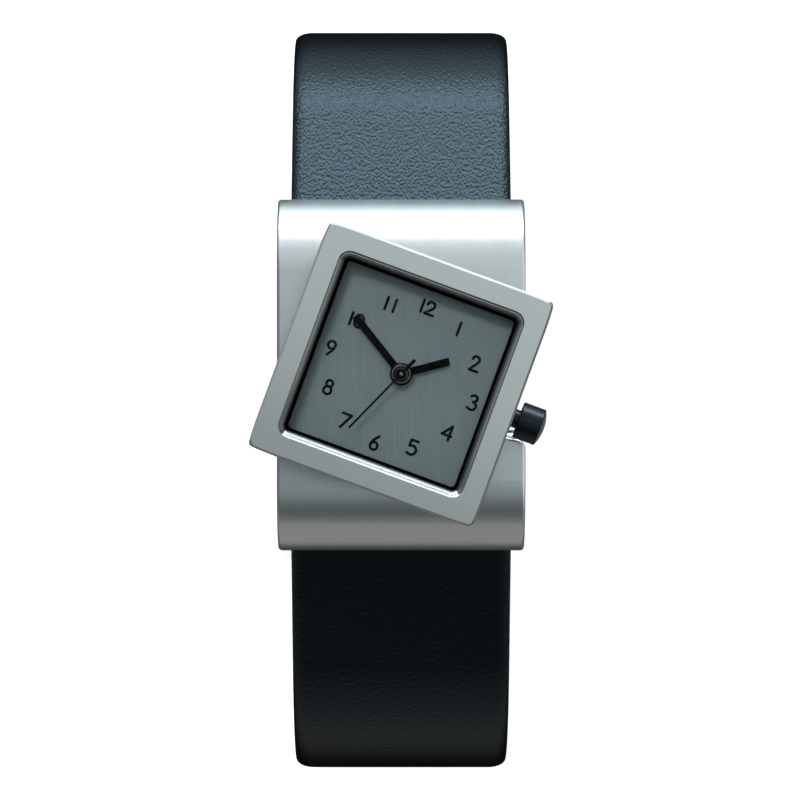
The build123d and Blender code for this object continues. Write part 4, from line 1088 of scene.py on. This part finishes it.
# %% [markdown]
# ## Turned details of the hands
# The minute hand's hub carries two turned ridges, and the arbor's end shows as a small dark dome
# on the second hand. Bump could fake them, but it has no outline from the side, so they are
# lathed from their profiles, and they catch thin rings of light.


# %% A lathe
def turned(name, profiles, level, material):
    """Closed profiles of radius and height in millimetres, turned round the hands' axis."""
    shape = bmesh.new()
    steps = 72
    for profile in profiles:
        rows = []
        for step in range(steps):
            angle = 2 * math.pi * step / steps
            right, ahead = math.cos(angle), math.sin(angle)
            rows.append([
                shape.verts.new(on_head(radius * right, radius * ahead, level + up * MM))
                for radius, up in profile])
        for row, after in zip(rows, rows[1:] + rows[:1]):
            for spot in range(len(profile)):
                follow = (spot + 1) % len(profile)
                shape.faces.new((row[spot], row[follow], after[follow], after[spot]))
    # Points on the axis fall together into one, and edges over 50 degrees stay sharp
    bmesh.ops.remove_doubles(shape, verts=shape.verts, dist=0.0005 * MM)
    bmesh.ops.recalc_face_normals(shape, faces=shape.faces)
    data = bpy.data.meshes.new(name)
    shape.to_mesh(data)
    shape.free()
    data.materials.append(material)
    data.shade_smooth()
    data.set_sharp_from_angle(angle=math.radians(50))
    print(name, len(data.polygons), "faces")
    return put(name, data)


def ridge(radius, half, rise):
    """The closed profile of a half round ridge: its radius on the hub, half width and height."""
    count = 8
    arc = [math.pi * step / count for step in range(count + 1)]
    return [(radius - half * math.cos(angle), rise * math.sin(angle)) for angle in arc]


# %% Ridges and arbor end
# Lacquer buffed to a gloss: black, with a clear line of light along each crest
gloss_black, tree, shader = finish("polished black lacquer", IOR=1.5, Specular_IOR_Level=1.0)
speckle(tree, shader, 0.2, "#060607", "#030304", (0.12, 0.2), 0.0005)
# Steel blackened in a hot salt bath: still a metal, but much darker
blackened_steel, tree, shader = finish("blackened polished steel", Metallic=1.0)
speckle(tree, shader, 0.2, "#5A5E64", "#4E5258", (0.16, 0.24), 0.0005)
ridges = turned("hub_ridges", (ridge(0.85, 0.1, 0.06), ridge(0.56, 0.08, 0.06)),
                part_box("minute_hand")[1].z, gloss_black)
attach(ridges, "minute")
ARBOR_PROFILE = ((0.0, 0.0), (0.17, 0.0), (0.17, 0.015), (0.13, 0.04), (0.07, 0.055), (0.0, 0.06))
arbor_end = turned("arbor_end", (ARBOR_PROFILE,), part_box("second_hand")[1].z, blackened_steel)
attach(arbor_end, "second")
